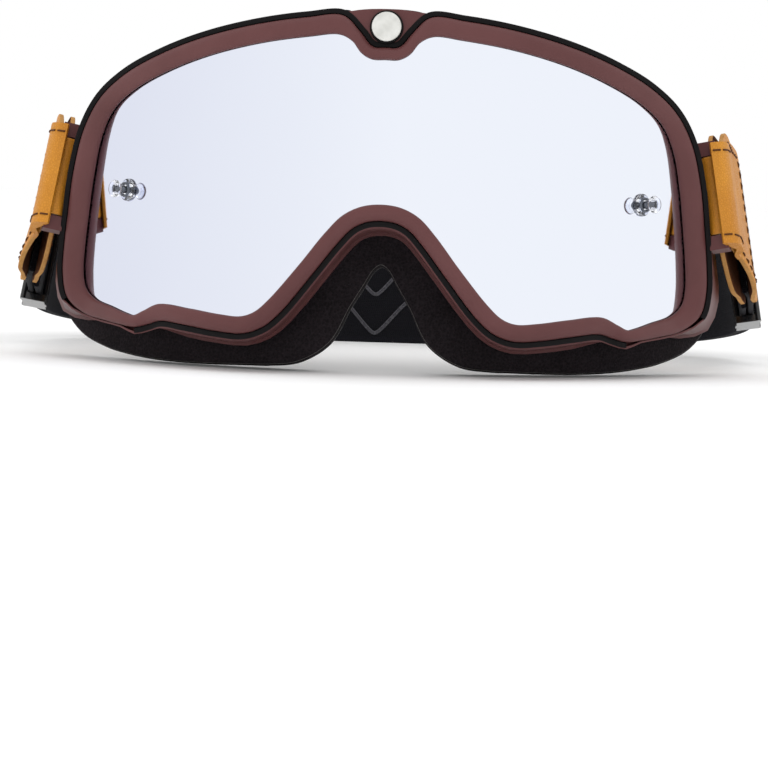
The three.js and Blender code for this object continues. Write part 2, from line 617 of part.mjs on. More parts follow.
// The flat face of the seat at t, carried on past its edges.
function seatLine(t) {
  const inner = seatEdge.at(t, 0, seatY);
  const outer = flangeEdge.at(t, 0, seatY);
  const half = Math.max(Math.abs(outer.x - inner.x) / 2, 0.5);
  const centre = (outer.x + inner.x) / 2;
  const slope = (seatY(centre + half) - seatY(centre - half)) / (2 * half);
  return (x) => outer.y + slope * (x - outer.x) + 2 * GAP;
}

const foamBase = () => foamLayer(seatLine, () => foamSplitY);
const foamFace = () => foamLayer(() => foamY, () => (x) => foamSplitY(x) + GAP);

function ventFoam(vent) {
  const outside = -FRAME_WALL - GAP;
  const inside = outside - VENT_FOAM_THICKNESS;
  const half = VENT_DEPTH / 2 + GAP;
  const front = (x) => cavityY(x) - half;
  const back = (x) => cavityY(x) + half;
  return sweep(
    [
      (t) => frameEdge.at(t, outside, front),
      (t) => frameEdge.at(t, outside, back),
      (t) => frameEdge.at(t, inside, back),
      (t) => frameEdge.at(t, inside, front),
    ],
    browPlace(vent.from - 1.6),
    browPlace(vent.to + 1.6),
    6,
  );
}

// ---------------------------------------------------------------- leather tab
function leatherTab() {
  const flat = PLY + 0.2; // half the thickness where the two plies lie together
  const spread = STRAP_THICKNESS / 2 + GAP + PLY; // half the thickness over the strap's end
  const pocket = STRAP_THICKNESS / 2 + GAP;
  const pocketStart = TAB_LENGTH - STRAP_IN_TAB - 1;
  const plan = new THREE.Shape();
  plan.moveTo(0, -TAB_LOOP_RADIUS);
  plan.lineTo(8, -flat);
  plan.lineTo(pocketStart - 3, -flat);
  plan.lineTo(pocketStart + 3, -spread);
  plan.lineTo(TAB_LENGTH, -spread);
  plan.lineTo(TAB_LENGTH, -pocket);
  plan.lineTo(pocketStart, -pocket);
  plan.lineTo(pocketStart, pocket);
  plan.lineTo(TAB_LENGTH, pocket);
  plan.lineTo(TAB_LENGTH, spread);
  plan.lineTo(pocketStart + 3, spread);
  plan.lineTo(pocketStart - 3, flat);
  plan.lineTo(8, flat);
  plan.lineTo(0, TAB_LOOP_RADIUS);
  plan.absarc(0, 0, TAB_LOOP_RADIUS, Math.PI / 2, (3 * Math.PI) / 2, false);
  const eye = new THREE.Path();
  eye.absarc(0, 0, BAR_RADIUS + GAP, 0, 2 * Math.PI, true);
  plan.holes.push(eye);
  const tall = 2 * TAB_REAR_HALF_HEIGHT + 4;
  const folded = new THREE.ExtrudeGeometry(plan, { depth: tall, bevelEnabled: false, curveSegments: 6 });
  folded.translate(0, 0, -tall / 2);

  const rear = TAB_REAR_HALF_HEIGHT;
  const bend = 2.5; // radius of the rear corners
  const face = new THREE.Shape();
  face.moveTo(-TAB_LOOP_RADIUS - 1, -TAB_FRONT_HALF_HEIGHT);
  face.lineTo(LUG_LENGTH / 2 + 2 * GAP, -TAB_FRONT_HALF_HEIGHT);
  face.lineTo(23, -rear + 1);
  face.quadraticCurveTo(25, -rear, 27.5, -rear);
  face.lineTo(TAB_LENGTH - bend, -rear);
  face.absarc(TAB_LENGTH - bend, bend - rear, bend, -Math.PI / 2, 0, false);
  face.absarc(TAB_LENGTH - bend, rear - bend, bend, 0, Math.PI / 2, false);
  face.lineTo(23, rear);
  face.quadraticCurveTo(20.5, rear, 18.5, rear - 1);
  face.lineTo(LUG_LENGTH / 2 + 2 * GAP, TAB_FRONT_HALF_HEIGHT);
  face.lineTo(-TAB_LOOP_RADIUS - 1, TAB_FRONT_HALF_HEIGHT);
  face.closePath();
  const thick = 2 * TAB_LOOP_RADIUS + 4;
  const outline = new THREE.ExtrudeGeometry(face, { depth: thick, bevelEnabled: false, curveSegments: 4 });
  upright(outline).translate(0, thick / 2, 0);
  return onBar(folded, 0, 0, 0).intersect(onBar(outline, 0, 0, 0));
}

// ---------------------------------------------------------------- strap and sliders
const onTab = (distance) => BAR_CENTRE.clone().addScaledVector(tabAlong, distance);

// How high a point stands once the goggles lean back, and the lowest that the foam reaches.
const standing = (place) => place.z * Math.cos(LEAN_BACK) - place.y * Math.sin(LEAN_BACK);
const stations = Array.from({ length: ROUND }, (_, i) => atStation(i));
const tableHeight = Math.min(...stations.map((t) => standing(foamEdge.at(t, 0, foamY))));

// The strap runs straight down from the tab until its lower edge meets the table at the back.
const tabEnd = onTab(TAB_LENGTH);
const sideX = tabEnd.x + STRAP_STEP + STRAP_SPREAD; // widest half of the strap loop
const straightEndY = tabEnd.y + 10 + STRAP_STRAIGHT;
const rearY = straightEndY + LOOP_DEPTH;
const rearHeight = (tableHeight + STRAP_WIDTH / 2 + rearY * Math.sin(LEAN_BACK)) / Math.cos(LEAN_BACK);
const strapHeight = (y) => lerp(tabEnd.z, rearHeight, (y - tabEnd.y) / (rearY - tabEnd.y));

// The right half of the strap's centre line, from inside the tab to the middle of the back.
function strapRoute() {
  const start = onTab(TAB_LENGTH - STRAP_IN_TAB);
  const points = [start, onTab(TAB_LENGTH - STRAP_IN_TAB / 2), tabEnd];
  const straightStart = new THREE.Vector2(tabEnd.x + STRAP_STEP, tabEnd.y + 10);
  const straightEnd = new THREE.Vector2(sideX, straightEndY);
  const pieces = 5;
  for (let i = 0; i <= pieces; i += 1) {
    const place = straightStart.clone().lerp(straightEnd, i / pieces);
    points.push(new THREE.Vector3(place.x, place.y, strapHeight(place.y)));
  }
  const bends = 7;
  for (let i = 1; i <= bends; i += 1) {
    const turn = (i / bends) * (Math.PI / 2);
    const power = 0.78; // fuller than an ellipse at its shoulders
    const x = sideX * Math.cos(turn) ** power;
    const y = straightEndY + LOOP_DEPTH * Math.sin(turn) ** 0.95;
    points.push(new THREE.Vector3(i === bends ? 0 : x, y, strapHeight(y)));
  }
  const left = points.slice(0, -1).reverse().map((place) => new THREE.Vector3(-place.x, place.y, place.z));
  return new THREE.CatmullRomCurve3([...points, ...left], false, 'centripetal');
}

const route = strapRoute();
route.arcLengthDivisions = 800;
const routeLength = route.getLength();
const rearUp = new THREE.Vector3(0, -Math.sin(LEAN_BACK), Math.cos(LEAN_BACK));

// Centre, direction, height and outward directions of the strap at a share s of the whole loop.
function strapFrame(s) {
  const centre = route.getPointAt(s);
  const along = route.getTangentAt(s);
  const reach = THREE.MathUtils.smoothstep(centre.y, straightEndY - 4, rearY);
  const tilted = barUp.clone();
  tilted.x *= Math.sign(centre.x) || 1;
  const up = tilted.lerp(rearUp, reach);
  up.addScaledVector(along, -up.dot(along)).normalize();
  const out = new THREE.Vector3().crossVectors(along, up).normalize();
  return { centre, along, up, out };
}

function band(s0, s1, outside, slices) {
  const edge = (up, out) => (s) => {
    const frame = strapFrame(s);
    return frame.centre.addScaledVector(frame.up, up).addScaledVector(frame.out, out);
  };
  const half = STRAP_WIDTH / 2;
  return sweep(
    [
      edge(-half, outside),
      edge(-half, outside - STRAP_THICKNESS),
      edge(half, outside - STRAP_THICKNESS),
      edge(half, outside),
    ],
    s0,
    s1,
    slices,
  );
}

const splitShare = STRAP_SPLIT / 2;
const halfGap = GAP / 2 / routeLength;
const surface = STRAP_THICKNESS / 2;
const PLY_GAP = 2 * GAP; // between the strap and its folded tail
const strapSide = () => band(0, splitShare - halfGap, surface, 18);
const strapRearPart = () => band(splitShare + halfGap, 1 - splitShare - halfGap, surface, 28);

const shareAtDepth = (y) => turningPoint(0, 0.4, (s) => route.getPointAt(s).y < y);

const sliderShare = shareAtDepth(tabEnd.y + SLIDER_BACK);
const tailStart = shareAtDepth(tabEnd.y + SLIDER_BACK - 16);
const strapTail = () => band(tailStart, tailStart + TAIL_LENGTH / routeLength, -surface - PLY_GAP, 18);

function roundedBar(width, thickness, length) {
  const radius = 0.45 * thickness;
  const x = width / 2 - radius;
  const y = thickness / 2 - radius;
  const shape = new THREE.Shape();
  shape.absarc(x, y, radius, 0, Math.PI / 2, false);
  shape.absarc(-x, y, radius, Math.PI / 2, Math.PI, false);
  shape.absarc(-x, -y, radius, Math.PI, 1.5 * Math.PI, false);
  shape.absarc(x, -y, radius, 1.5 * Math.PI, 2 * Math.PI, false);
  shape.closePath();
  const bar = new THREE.ExtrudeGeometry(shape, { depth: length, bevelEnabled: false, curveSegments: 2 });
  return bar.translate(0, 0, -length / 2);
}

function slider() {
  const { centre, along, up, out } = strapFrame(sliderShare);
  const basis = new THREE.Matrix4().makeBasis(along, out.clone().negate(), up).setPosition(centre);
  const place = (geometry, a, b, c) => solid(geometry.translate(a, -b, c).applyMatrix4(basis));
  const outerFace = surface + GAP;
  const innerFace = surface + PLY_GAP + STRAP_THICKNESS + GAP;
  const thickness = SLIDER_BAR_THICKNESS;
  const tall = STRAP_WIDTH + 2 * GAP + 2 * SLIDER_RAIL;
  const barCentre = SLIDER_LENGTH / 2 - SLIDER_BAR / 2;
  const front = place(roundedBar(SLIDER_BAR, thickness, tall), -barCentre, outerFace + thickness / 2, 0);
  const rear = place(roundedBar(SLIDER_BAR, thickness, tall), barCentre, outerFace + thickness / 2, 0);
  const inner = place(roundedBar(SLIDER_BAR + 1, thickness, tall), 0, -innerFace - thickness / 2, 0);
  const railThickness = outerFace + innerFace + 2 * thickness - 0.8;
  const railHeight = STRAP_WIDTH / 2 + GAP + SLIDER_RAIL / 2;
  const railOut = (outerFace - innerFace) / 2;
  const rail = () => box(SLIDER_LENGTH - 0.6, railThickness, SLIDER_RAIL);
  const upper = place(rail(), 0, railOut, railHeight);
  const lower = place(rail(), 0, railOut, -railHeight);
  return front.add(rear).add(inner).add(upper).add(lower);
}

// ---------------------------------------------------------------- materials
function material(color, roughness, metalness = 0) {
  return new THREE.MeshStandardMaterial({ color, roughness, metalness });
}

const frameBrown = material(0x6f4848, 0.45);
const bezelBrown = material(0x724a4b, 0.35);
const rubber = material(0x141314, 0.7);
const mirror = material(0xdadde9, 0.05, 1);
const clearPlastic = material(0xd8dbe2, 0.15);
const satinSteel = material(0xd0d0d2, 0.3, 1);
const faceFoam = material(0x1c1719, 0.95);
const fleece = material(0x37343a, 1);
const filterFoam = material(0x3c4148, 1);
const leather = material(0xd69632, 0.55);
const webbing = material(0x131218, 0.9);
const glossBlack = material(0x0c0c0e, 0.2);

// ---------------------------------------------------------------- assembly
const goggles = new THREE.Group();
goggles.name = 'goggles';

const bodies = [];
function add(name, body, look) {
  bodies.push({ name, body, look });
}

function addPair(name, body, look) {
  add(`${name}_right`, body, look);
  add(`${name}_left`, mirrored(body), look);
}

add('main_frame', mainFrame(), frameBrown);
add('front_bezel', bezel(), bezelBrown);
add('bezel_seal_upper', upperSeal(), rubber);
add('bezel_seal_lower', lowerSeal(), rubber);
add('lens', lens(), mirror);
add('lens_gasket', gasket(), rubber);
addPair('tearoff_post', tearoffPost(), clearPlastic);
addPair('post_washer', postWasher(), rubber);
add('badge_ring', badgeRing(), rubber);
add('badge_stud', badgeStud(), satinSteel);
add('foam_base', foamBase(), faceFoam);
add('foam_face', foamFace(), fleece);
addPair('vent_foam_inner', ventFoam(INNER_VENT), filterFoam);
addPair('vent_foam_outer', ventFoam(OUTER_VENT), filterFoam);
addPair('strap_bar', strapBar(), satinSteel);
addPair('leather_tab', leatherTab(), leather);
addPair('strap_side', strapSide(), webbing);
add('strap_rear', strapRearPart(), webbing);
addPair('strap_tail', strapTail(), webbing);
addPair('slider', slider(), glossBlack);

// Leans the goggles back, stands them on the table and centres them over the origin.
const lean = new THREE.Matrix4().makeRotationX(-LEAN_BACK);
const bounds = new THREE.Box3();
for (const item of bodies) {
  const { vertProperties, triVerts } = item.body.getMesh();
  const geometry = new THREE.BufferGeometry();
  geometry.setAttribute('position', new THREE.BufferAttribute(new Float32Array(vertProperties), 3));
  geometry.setIndex(new THREE.BufferAttribute(new Uint32Array(triVerts), 1));
  geometry.applyMatrix4(lean);
  geometry.computeBoundingBox();
  bounds.union(geometry.boundingBox);
  item.geometry = geometry;
}
const middle = bounds.getCenter(new THREE.Vector3());
for (const { name, geometry, look } of bodies) {
  geometry.translate(-middle.x, -middle.y, -bounds.min.z);
  geometry.computeVertexNormals();
  const mesh = new THREE.Mesh(geometry, look);
  mesh.name = name;
  goggles.add(mesh);
}

export default goggles;
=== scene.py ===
import json
import math

import bmesh
import bpy
import numpy as np
from mathutils import Matrix, Vector
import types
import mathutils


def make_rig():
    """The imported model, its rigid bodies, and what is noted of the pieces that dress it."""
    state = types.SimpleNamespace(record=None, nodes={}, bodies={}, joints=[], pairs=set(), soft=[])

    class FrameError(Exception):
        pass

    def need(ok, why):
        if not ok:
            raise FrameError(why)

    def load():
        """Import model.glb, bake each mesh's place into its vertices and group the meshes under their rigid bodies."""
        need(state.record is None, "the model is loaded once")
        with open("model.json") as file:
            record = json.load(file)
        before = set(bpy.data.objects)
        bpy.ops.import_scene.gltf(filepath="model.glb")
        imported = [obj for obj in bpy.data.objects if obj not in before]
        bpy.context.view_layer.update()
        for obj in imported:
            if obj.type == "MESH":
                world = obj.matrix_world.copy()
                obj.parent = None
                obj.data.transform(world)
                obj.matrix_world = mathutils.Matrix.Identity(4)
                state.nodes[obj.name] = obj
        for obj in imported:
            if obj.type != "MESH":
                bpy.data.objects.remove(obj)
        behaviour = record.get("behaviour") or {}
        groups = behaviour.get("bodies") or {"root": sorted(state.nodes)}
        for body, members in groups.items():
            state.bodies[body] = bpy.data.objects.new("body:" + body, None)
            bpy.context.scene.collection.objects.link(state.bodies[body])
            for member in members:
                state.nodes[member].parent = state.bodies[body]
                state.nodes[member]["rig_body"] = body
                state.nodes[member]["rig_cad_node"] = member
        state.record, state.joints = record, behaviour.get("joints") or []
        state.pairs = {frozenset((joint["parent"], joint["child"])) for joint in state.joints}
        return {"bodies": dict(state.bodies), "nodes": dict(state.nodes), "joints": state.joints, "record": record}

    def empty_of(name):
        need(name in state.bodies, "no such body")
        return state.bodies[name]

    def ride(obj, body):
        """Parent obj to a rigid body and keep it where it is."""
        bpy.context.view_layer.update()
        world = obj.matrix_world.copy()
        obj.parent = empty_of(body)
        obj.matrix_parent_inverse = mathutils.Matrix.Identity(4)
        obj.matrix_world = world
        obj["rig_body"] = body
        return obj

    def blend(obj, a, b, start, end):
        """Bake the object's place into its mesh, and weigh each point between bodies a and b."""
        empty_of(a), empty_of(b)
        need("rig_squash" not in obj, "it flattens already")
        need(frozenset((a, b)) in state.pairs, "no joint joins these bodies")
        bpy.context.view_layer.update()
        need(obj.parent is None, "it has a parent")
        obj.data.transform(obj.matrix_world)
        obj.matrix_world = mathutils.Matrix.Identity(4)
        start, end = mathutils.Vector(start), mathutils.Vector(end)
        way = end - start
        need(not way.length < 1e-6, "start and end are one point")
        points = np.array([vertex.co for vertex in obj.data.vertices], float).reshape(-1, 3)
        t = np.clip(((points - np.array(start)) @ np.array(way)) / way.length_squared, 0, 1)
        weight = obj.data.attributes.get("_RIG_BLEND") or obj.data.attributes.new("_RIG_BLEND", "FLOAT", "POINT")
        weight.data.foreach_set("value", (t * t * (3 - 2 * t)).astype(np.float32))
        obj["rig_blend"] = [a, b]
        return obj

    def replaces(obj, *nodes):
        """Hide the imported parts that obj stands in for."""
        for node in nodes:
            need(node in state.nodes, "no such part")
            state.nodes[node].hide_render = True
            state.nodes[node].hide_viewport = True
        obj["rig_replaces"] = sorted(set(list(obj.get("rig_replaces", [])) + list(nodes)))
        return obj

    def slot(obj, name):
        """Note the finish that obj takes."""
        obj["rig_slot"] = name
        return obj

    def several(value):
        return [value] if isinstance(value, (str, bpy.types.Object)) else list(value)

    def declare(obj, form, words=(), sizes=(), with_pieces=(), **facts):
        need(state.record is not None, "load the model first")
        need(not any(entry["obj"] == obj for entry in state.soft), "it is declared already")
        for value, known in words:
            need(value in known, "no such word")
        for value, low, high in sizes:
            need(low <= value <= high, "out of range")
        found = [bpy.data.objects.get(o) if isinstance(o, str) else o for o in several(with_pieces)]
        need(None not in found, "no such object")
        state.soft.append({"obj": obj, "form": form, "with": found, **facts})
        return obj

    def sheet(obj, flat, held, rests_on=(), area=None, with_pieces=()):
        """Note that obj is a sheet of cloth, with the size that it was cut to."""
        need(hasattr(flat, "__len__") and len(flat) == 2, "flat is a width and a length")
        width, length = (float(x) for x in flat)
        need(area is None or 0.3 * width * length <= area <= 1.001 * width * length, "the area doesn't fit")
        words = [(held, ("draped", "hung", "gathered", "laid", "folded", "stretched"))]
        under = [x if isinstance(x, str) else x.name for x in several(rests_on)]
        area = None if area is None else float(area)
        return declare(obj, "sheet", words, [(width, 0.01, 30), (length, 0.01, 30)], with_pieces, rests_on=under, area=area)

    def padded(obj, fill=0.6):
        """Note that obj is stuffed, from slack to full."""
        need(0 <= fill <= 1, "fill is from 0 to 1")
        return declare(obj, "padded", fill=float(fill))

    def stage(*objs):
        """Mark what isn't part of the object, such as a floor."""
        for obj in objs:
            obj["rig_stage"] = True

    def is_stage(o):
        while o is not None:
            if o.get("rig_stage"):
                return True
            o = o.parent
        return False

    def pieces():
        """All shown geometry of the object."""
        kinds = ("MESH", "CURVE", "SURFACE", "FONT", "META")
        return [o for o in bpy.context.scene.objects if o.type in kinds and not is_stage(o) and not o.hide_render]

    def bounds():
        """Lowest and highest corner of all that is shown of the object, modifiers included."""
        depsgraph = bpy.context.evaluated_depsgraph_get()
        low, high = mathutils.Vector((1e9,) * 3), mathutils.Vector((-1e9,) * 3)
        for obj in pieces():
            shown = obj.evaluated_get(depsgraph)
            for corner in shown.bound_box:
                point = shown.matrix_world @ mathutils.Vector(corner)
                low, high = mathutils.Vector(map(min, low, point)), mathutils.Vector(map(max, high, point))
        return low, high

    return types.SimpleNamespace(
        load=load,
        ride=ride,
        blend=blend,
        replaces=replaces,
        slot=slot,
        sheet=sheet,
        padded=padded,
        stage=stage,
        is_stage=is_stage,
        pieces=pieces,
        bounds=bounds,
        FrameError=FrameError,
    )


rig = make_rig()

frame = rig.load()
cad_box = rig.bounds()

# ---------------------------------------------------------------- where the goggles stand
# Lengths below are millimetres in the goggles' own axes: the lens face's middle is the origin, they face -Y
# and +Z is up. They stand leaning back, with the underside's middle at the row frame's origin.
LEAN_BACK = math.radians(5)
STANDS_BACK = 93.492
STANDS_UP = 49.964
GAP = 0.3


def stand(points):
    """Points in the goggles' own axes, in millimetres, as metres in the row frame."""
    x, y, z = np.moveaxis(np.asarray(points, float), -1, 0)
    cos, sin = math.cos(LEAN_BACK), math.sin(LEAN_BACK)
    return np.stack([x, y * cos + z * sin - STANDS_BACK, z * cos - y * sin + STANDS_UP], -1) / 1000


# ---------------------------------------------------------------- camera
CAMERA_DISTANCE = 0.80
CAMERA_YAW = math.radians(1.7)
CAMERA_ROLL = math.radians(1.7)
LENS_LENGTH = 143.0
SENSOR_WIDTH = 36.0
# where the middle of the lens stands in the view, as shares of the view's width from its centre
LENS_FACE_ACROSS = -0.003255
LENS_FACE_UP = 0.255208


def make_camera():
    """A long-lens camera level with the lens's middle, aimed low so that the goggles sit high in view."""
    target = Vector(stand([0, 0, 0]))
    toward = Vector((-math.sin(CAMERA_YAW), math.cos(CAMERA_YAW), 0))
    place = target - toward * CAMERA_DISTANCE
    cam = bpy.data.objects.new("camera", bpy.data.cameras.new("camera"))
    cam.data.lens = LENS_LENGTH
    cam.data.sensor_width = SENSOR_WIDTH
    cam.data.clip_start, cam.data.clip_end = 0.05, 60
    right = Vector((math.cos(CAMERA_YAW), math.sin(CAMERA_YAW), 0))
    up = Vector((0, 0, 1))
    rolled_right = right * math.cos(CAMERA_ROLL) + up * math.sin(CAMERA_ROLL)
    rolled_up = up * math.cos(CAMERA_ROLL) - right * math.sin(CAMERA_ROLL)
    view_width = SENSOR_WIDTH / LENS_LENGTH
    shift = rolled_right * LENS_FACE_ACROSS + rolled_up * LENS_FACE_UP
    aim = (toward - shift * view_width).normalized()
    rolled_up = (rolled_up - aim * rolled_up.dot(aim)).normalized()
    side = aim.cross(rolled_up)
    cam.matrix_world = Matrix((side, rolled_up, -aim)).transposed().to_4x4()
    cam.location = place
    bpy.context.scene.collection.objects.link(cam)
    bpy.context.scene.camera = cam


make_camera()


# ---------------------------------------------------------------- shader sums
class Wire:
    """One output of a material's nodes. Arithmetic on it adds Math nodes."""

    def __init__(self, finish, socket):
        self.finish = finish
        self.socket = socket

    def math(self, operation, *values, **settings):
        return self.finish.node("ShaderNodeMath", {"operation": operation, **settings}, dict(enumerate(values)))

    def __add__(self, other):
        return self.math("ADD", self, other)

    def __sub__(self, other):
        return self.math("SUBTRACT", self, other)

    def __rsub__(self, other):
        return self.math("SUBTRACT", other, self)

    def __mul__(self, other):
        return self.math("MULTIPLY", self, other)

    __radd__ = __add__
    __rmul__ = __mul__

    def sine(self):
        return self.math("SINE", self)

    def size(self):
        return self.math("ABSOLUTE", self)

    def ramp(self, low, high):
        """0 at low and below, 1 at high and above."""
        sockets = {0: self, 1: low, 2: high, 3: 0.0, 4: 1.0}
        return self.finish.node("ShaderNodeMapRange", {"clamp": True}, sockets)


class Finish:
    """A material made of nodes round one Principled shader."""

    def __init__(self, name, **sockets):
        self.material = bpy.data.materials.new(name)
        self.material.use_nodes = True
        self.tree = self.material.node_tree
        self.tree.nodes.clear()
        self.shader = self.tree.nodes.new("ShaderNodeBsdfPrincipled")
        self.out = self.tree.nodes.new("ShaderNodeOutputMaterial")
        self.tree.links.new(self.shader.outputs[0], self.out.inputs["Surface"])
        self.set(**sockets)

    def node(self, kind, settings=None, sockets=None, output=0):
        node = self.tree.nodes.new(kind)
        for key, value in (settings or {}).items():
            if key == "stops":
                ramp = node.color_ramp
                while len(ramp.elements) < len(value):
                    ramp.elements.new(0.5)
                for element, (position, color) in zip(ramp.elements, value):
                    element.position, element.color = position, color
            else:
                setattr(node, key, value)
        for key, value in (sockets or {}).items():
            self.feed(node.inputs[key], value)
        return Wire(self, node.outputs[output])

    def feed(self, socket, value):
        if isinstance(value, Wire):
            self.tree.links.new(value.socket, socket)
        else:
            socket.default_value = value

    def set(self, **sockets):
        for key, value in sockets.items():
            self.feed(self.shader.inputs[key.replace("_", " ")], value)
        return self

    def place(self):
        """Where a point is on the piece, in metres."""
        return self.node("ShaderNodeTexCoord", output="Object")

    def noise(self, scale, detail=3.0, roughness=0.55, place=None):
        place = place or self.place()
        sockets = {"Vector": place, "Scale": scale, "Detail": detail, "Roughness": roughness}
        return self.node("ShaderNodeTexNoise", {"noise_dimensions": "3D"}, sockets)

    def cells(self, scale, feature="F1", output="Distance", randomness=1.0):
        sockets = {"Vector": self.place(), "Scale": scale, "Randomness": randomness}
        return self.node("ShaderNodeTexVoronoi", {"feature": feature}, sockets, output)

    def along(self, name):
        """A number that the mesh carries at each point."""
        return self.node("ShaderNodeAttribute", {"attribute_name": name}, output="Fac")

    def mix(self, share, first, second, blend="MIX"):
        settings = {"data_type": "RGBA", "blend_type": blend}
        return self.node("ShaderNodeMix", settings, {0: share, 6: first, 7: second}, output=2)

    def relief(self, height, depth, below=None):
        """A bumped normal, with the height's unit worth depth metres."""
        sockets = {"Height": height, "Strength": 1.0, "Distance": depth}
        if below is not None:
            sockets["Normal"] = below
        return self.node("ShaderNodeBump", {}, sockets, output="Normal")

    def soft_edges(self, radius):
        return self.node("ShaderNodeBevel", {"samples": 6}, {"Radius": radius})


def tint(red, green, blue):
    """A colour given as 0 to 255 on a screen, in the linear light that shaders take."""
    values = [v / 255 for v in (red, green, blue)]
    return (*[v / 12.92 if v <= 0.04045 else ((v + 0.055) / 1.055) ** 2.4 for v in values], 1.0)


# ---------------------------------------------------------------- finishes
def moulded_plastic(name, color, worn, roughness, edge_radius):
    f = Finish(name, Specular_IOR_Level=0.25)
    broad = f.noise(38, 4)
    fine = f.noise(2600, 2)
    speck = f.noise(900, 3, 0.7).ramp(0.62, 0.75)
    f.set(
        Base_Color=f.mix(speck * 0.25, f.mix(broad.ramp(0.3, 0.7), color, worn), worn),
        Roughness=broad * 0.1 + fine * 0.08 + roughness,
        Normal=f.relief(fine, 1.2e-5, f.relief(broad, 3e-5, f.soft_edges(edge_radius))),
    )
    return f.material


def mirror_coating():
    """Silver mirror in front; behind it the glass is smoke grey. Its colour is a painted reflection, darker towards
    the left and brighter from the middle to the right.
    """
    f = Finish("mirror_coating", Metallic=1.0, Specular_IOR_Level=0.5)
    drift = f.noise(9, 3)
    haze = f.noise(240, 4)
    across = f.node("ShaderNodeSeparateXYZ", {}, {0: f.place()}, 0)
    # painted reflection: this share blends the mirror from its darker left tone to its bright middle and right, with a
    # wavering edge
    thick = (across + drift * 0.03).ramp(-0.085, 0.02)
    f.set(
        Base_Color=f.mix(thick, tint(217, 221, 237), tint(238, 242, 251)),
        Roughness=haze * 0.03 + 0.035,
    )
    return f.material


def smoke_glass():
    f = Finish("smoke_glass", Specular_IOR_Level=0.6)
    drift = f.noise(12, 2)
    f.set(
        Base_Color=f.mix(drift, tint(34, 29, 34), tint(46, 40, 45)),
        Roughness=drift * 0.06 + 0.12,
    )
    return f.material


def clear_plastic():
    f = Finish("clear_plastic", Transmission_Weight=1.0, IOR=1.46)
    haze = f.noise(500, 2)
    f.set(Base_Color=f.mix(haze, tint(240, 243, 250), tint(250, 251, 255)), Roughness=haze * 0.05 + 0.02)
    return f.material


def dark_metal():
    f = Finish("dark_metal", Metallic=0.8)
    grain = f.noise(1800, 3)
    f.set(Base_Color=f.mix(grain, tint(72, 74, 82), tint(118, 122, 130)), Roughness=grain * 0.2 + 0.25)
    return f.material


def rubber(name="rubber", color=(10, 8, 9), roughness=0.6):
    f = Finish(name, Specular_IOR_Level=0.15)
    grain = f.noise(1500, 3)
    f.set(
        Base_Color=f.mix(grain, tint(*color), tint(*[c + 8 for c in color])),
        Roughness=grain * 0.2 + roughness,
        Normal=f.relief(grain, 2e-5),
    )
    return f.material


def satin_metal(name, low, high, roughness):
    f = Finish(name, Metallic=0.55, Specular_IOR_Level=0.5)
    grain = f.noise(2200, 4, 0.7)
    cloud = f.noise(260, 2)
    f.set(
        Base_Color=f.mix(cloud.ramp(0.3, 0.7), tint(*low), tint(*high)),
        Roughness=grain * 0.2 + roughness,
        Normal=f.relief(grain, 8e-6),
    )
    return f.material


def open_foam(name, low, high, scale, depth):
    """Sponge with open cells."""
    f = Finish(name, Specular_IOR_Level=0.12, Roughness=1.0)
    cells = f.cells(scale)
    pores = f.cells(scale * 2.3)
    broad = f.noise(90, 4)
    height = cells * 0.7 + pores * 0.3
    # painted shade: the colour darkens into the cells' pits, where the bump sinks, and the broad noise adds random
    # tone
    shade = (height * 0.8 + broad * 0.5).ramp(0.25, 0.95)
    f.set(Base_Color=f.mix(shade, tint(*low), tint(*high)), Normal=f.relief(height, depth))
    return f.material


def fleece():
    """Short brushed pile."""
    f = Finish("fleece", Specular_IOR_Level=0.1, Roughness=1.0, Sheen_Weight=0.25, Sheen_Roughness=0.5)
    pile = f.noise(2400, 4, 0.75)
    clumps = f.noise(420, 3, 0.6)
    height = pile * 0.6 + clumps * 0.8
    f.set(
        Base_Color=f.mix(height.ramp(0.45, 0.95), tint(10, 9, 10), tint(30, 28, 30)),
        Normal=f.relief(height, 3.2e-4),
    )
    return f.material


def grained_leather(name, low, high, deep):
    f = Finish(name, Specular_IOR_Level=0.38)
    pebble = f.cells(1300, "SMOOTH_F1")
    crease = f.cells(1400, "DISTANCE_TO_EDGE").ramp(0.0, 0.25)
    broad = f.noise(70, 4)
    pores = f.noise(3600, 3)
    color = f.mix(broad.ramp(0.3, 0.72), tint(*low), tint(*high))
    f.set(
        # painted shade: the creases between the pebbles darken towards the dark brown
        Base_Color=f.mix((1 - crease) * 0.25, color, tint(*deep)),
        Roughness=broad * 0.15 + (1 - crease) * 0.2 + 0.38,
        Normal=f.relief(pores, 2.5e-5, f.relief(crease * 0.6 + (1 - pebble) * 0.5, 7e-5)),
    )
    return f.material


def suede(name, low, high):
    """The leather's raw edges and back."""
    f = Finish(name, Specular_IOR_Level=0.15, Roughness=0.95)
    fibres = f.noise(1900, 4, 0.7)
    broad = f.noise(160, 3)
    f.set(
        Base_Color=f.mix((fibres * 0.6 + broad * 0.5).ramp(0.3, 0.8), tint(*low), tint(*high)),
        Normal=f.relief(fibres, 1.4e-4),
    )
    return f.material


def woven_elastic():
    """Ribs run along the band, with fine picks across them and a firm woven edge."""
    f = Finish("woven_elastic", Specular_IOR_Level=0.2, Sheen_Weight=0.05, Sheen_Roughness=0.4)
    along, across = f.along("along"), f.along("across")
    ribs = (across * (2 * math.pi / 1.15)).sine()
    picks = (along * (2 * math.pi / 0.62)).sine()
    offset = (across * (math.pi / 1.15)).sine().ramp(-0.2, 0.2)
    twill = (along * (2 * math.pi / 0.62) + offset * math.pi).sine()
    edge = across.size().ramp(18.6, 19.2)
    fuzz = f.noise(3200, 3)
    height = ribs.size() * 0.5 + twill * 0.35 + fuzz * 0.3
    f.set(
        Base_Color=f.mix((height * 0.6 + edge * 0.35).ramp(0.0, 1.1), tint(7, 7, 12), tint(25, 24, 32)),
        Roughness=fuzz * 0.2 + 0.7 + picks * 0.03,
        Normal=f.relief(height, 1.5e-4),
    )
    return f.material


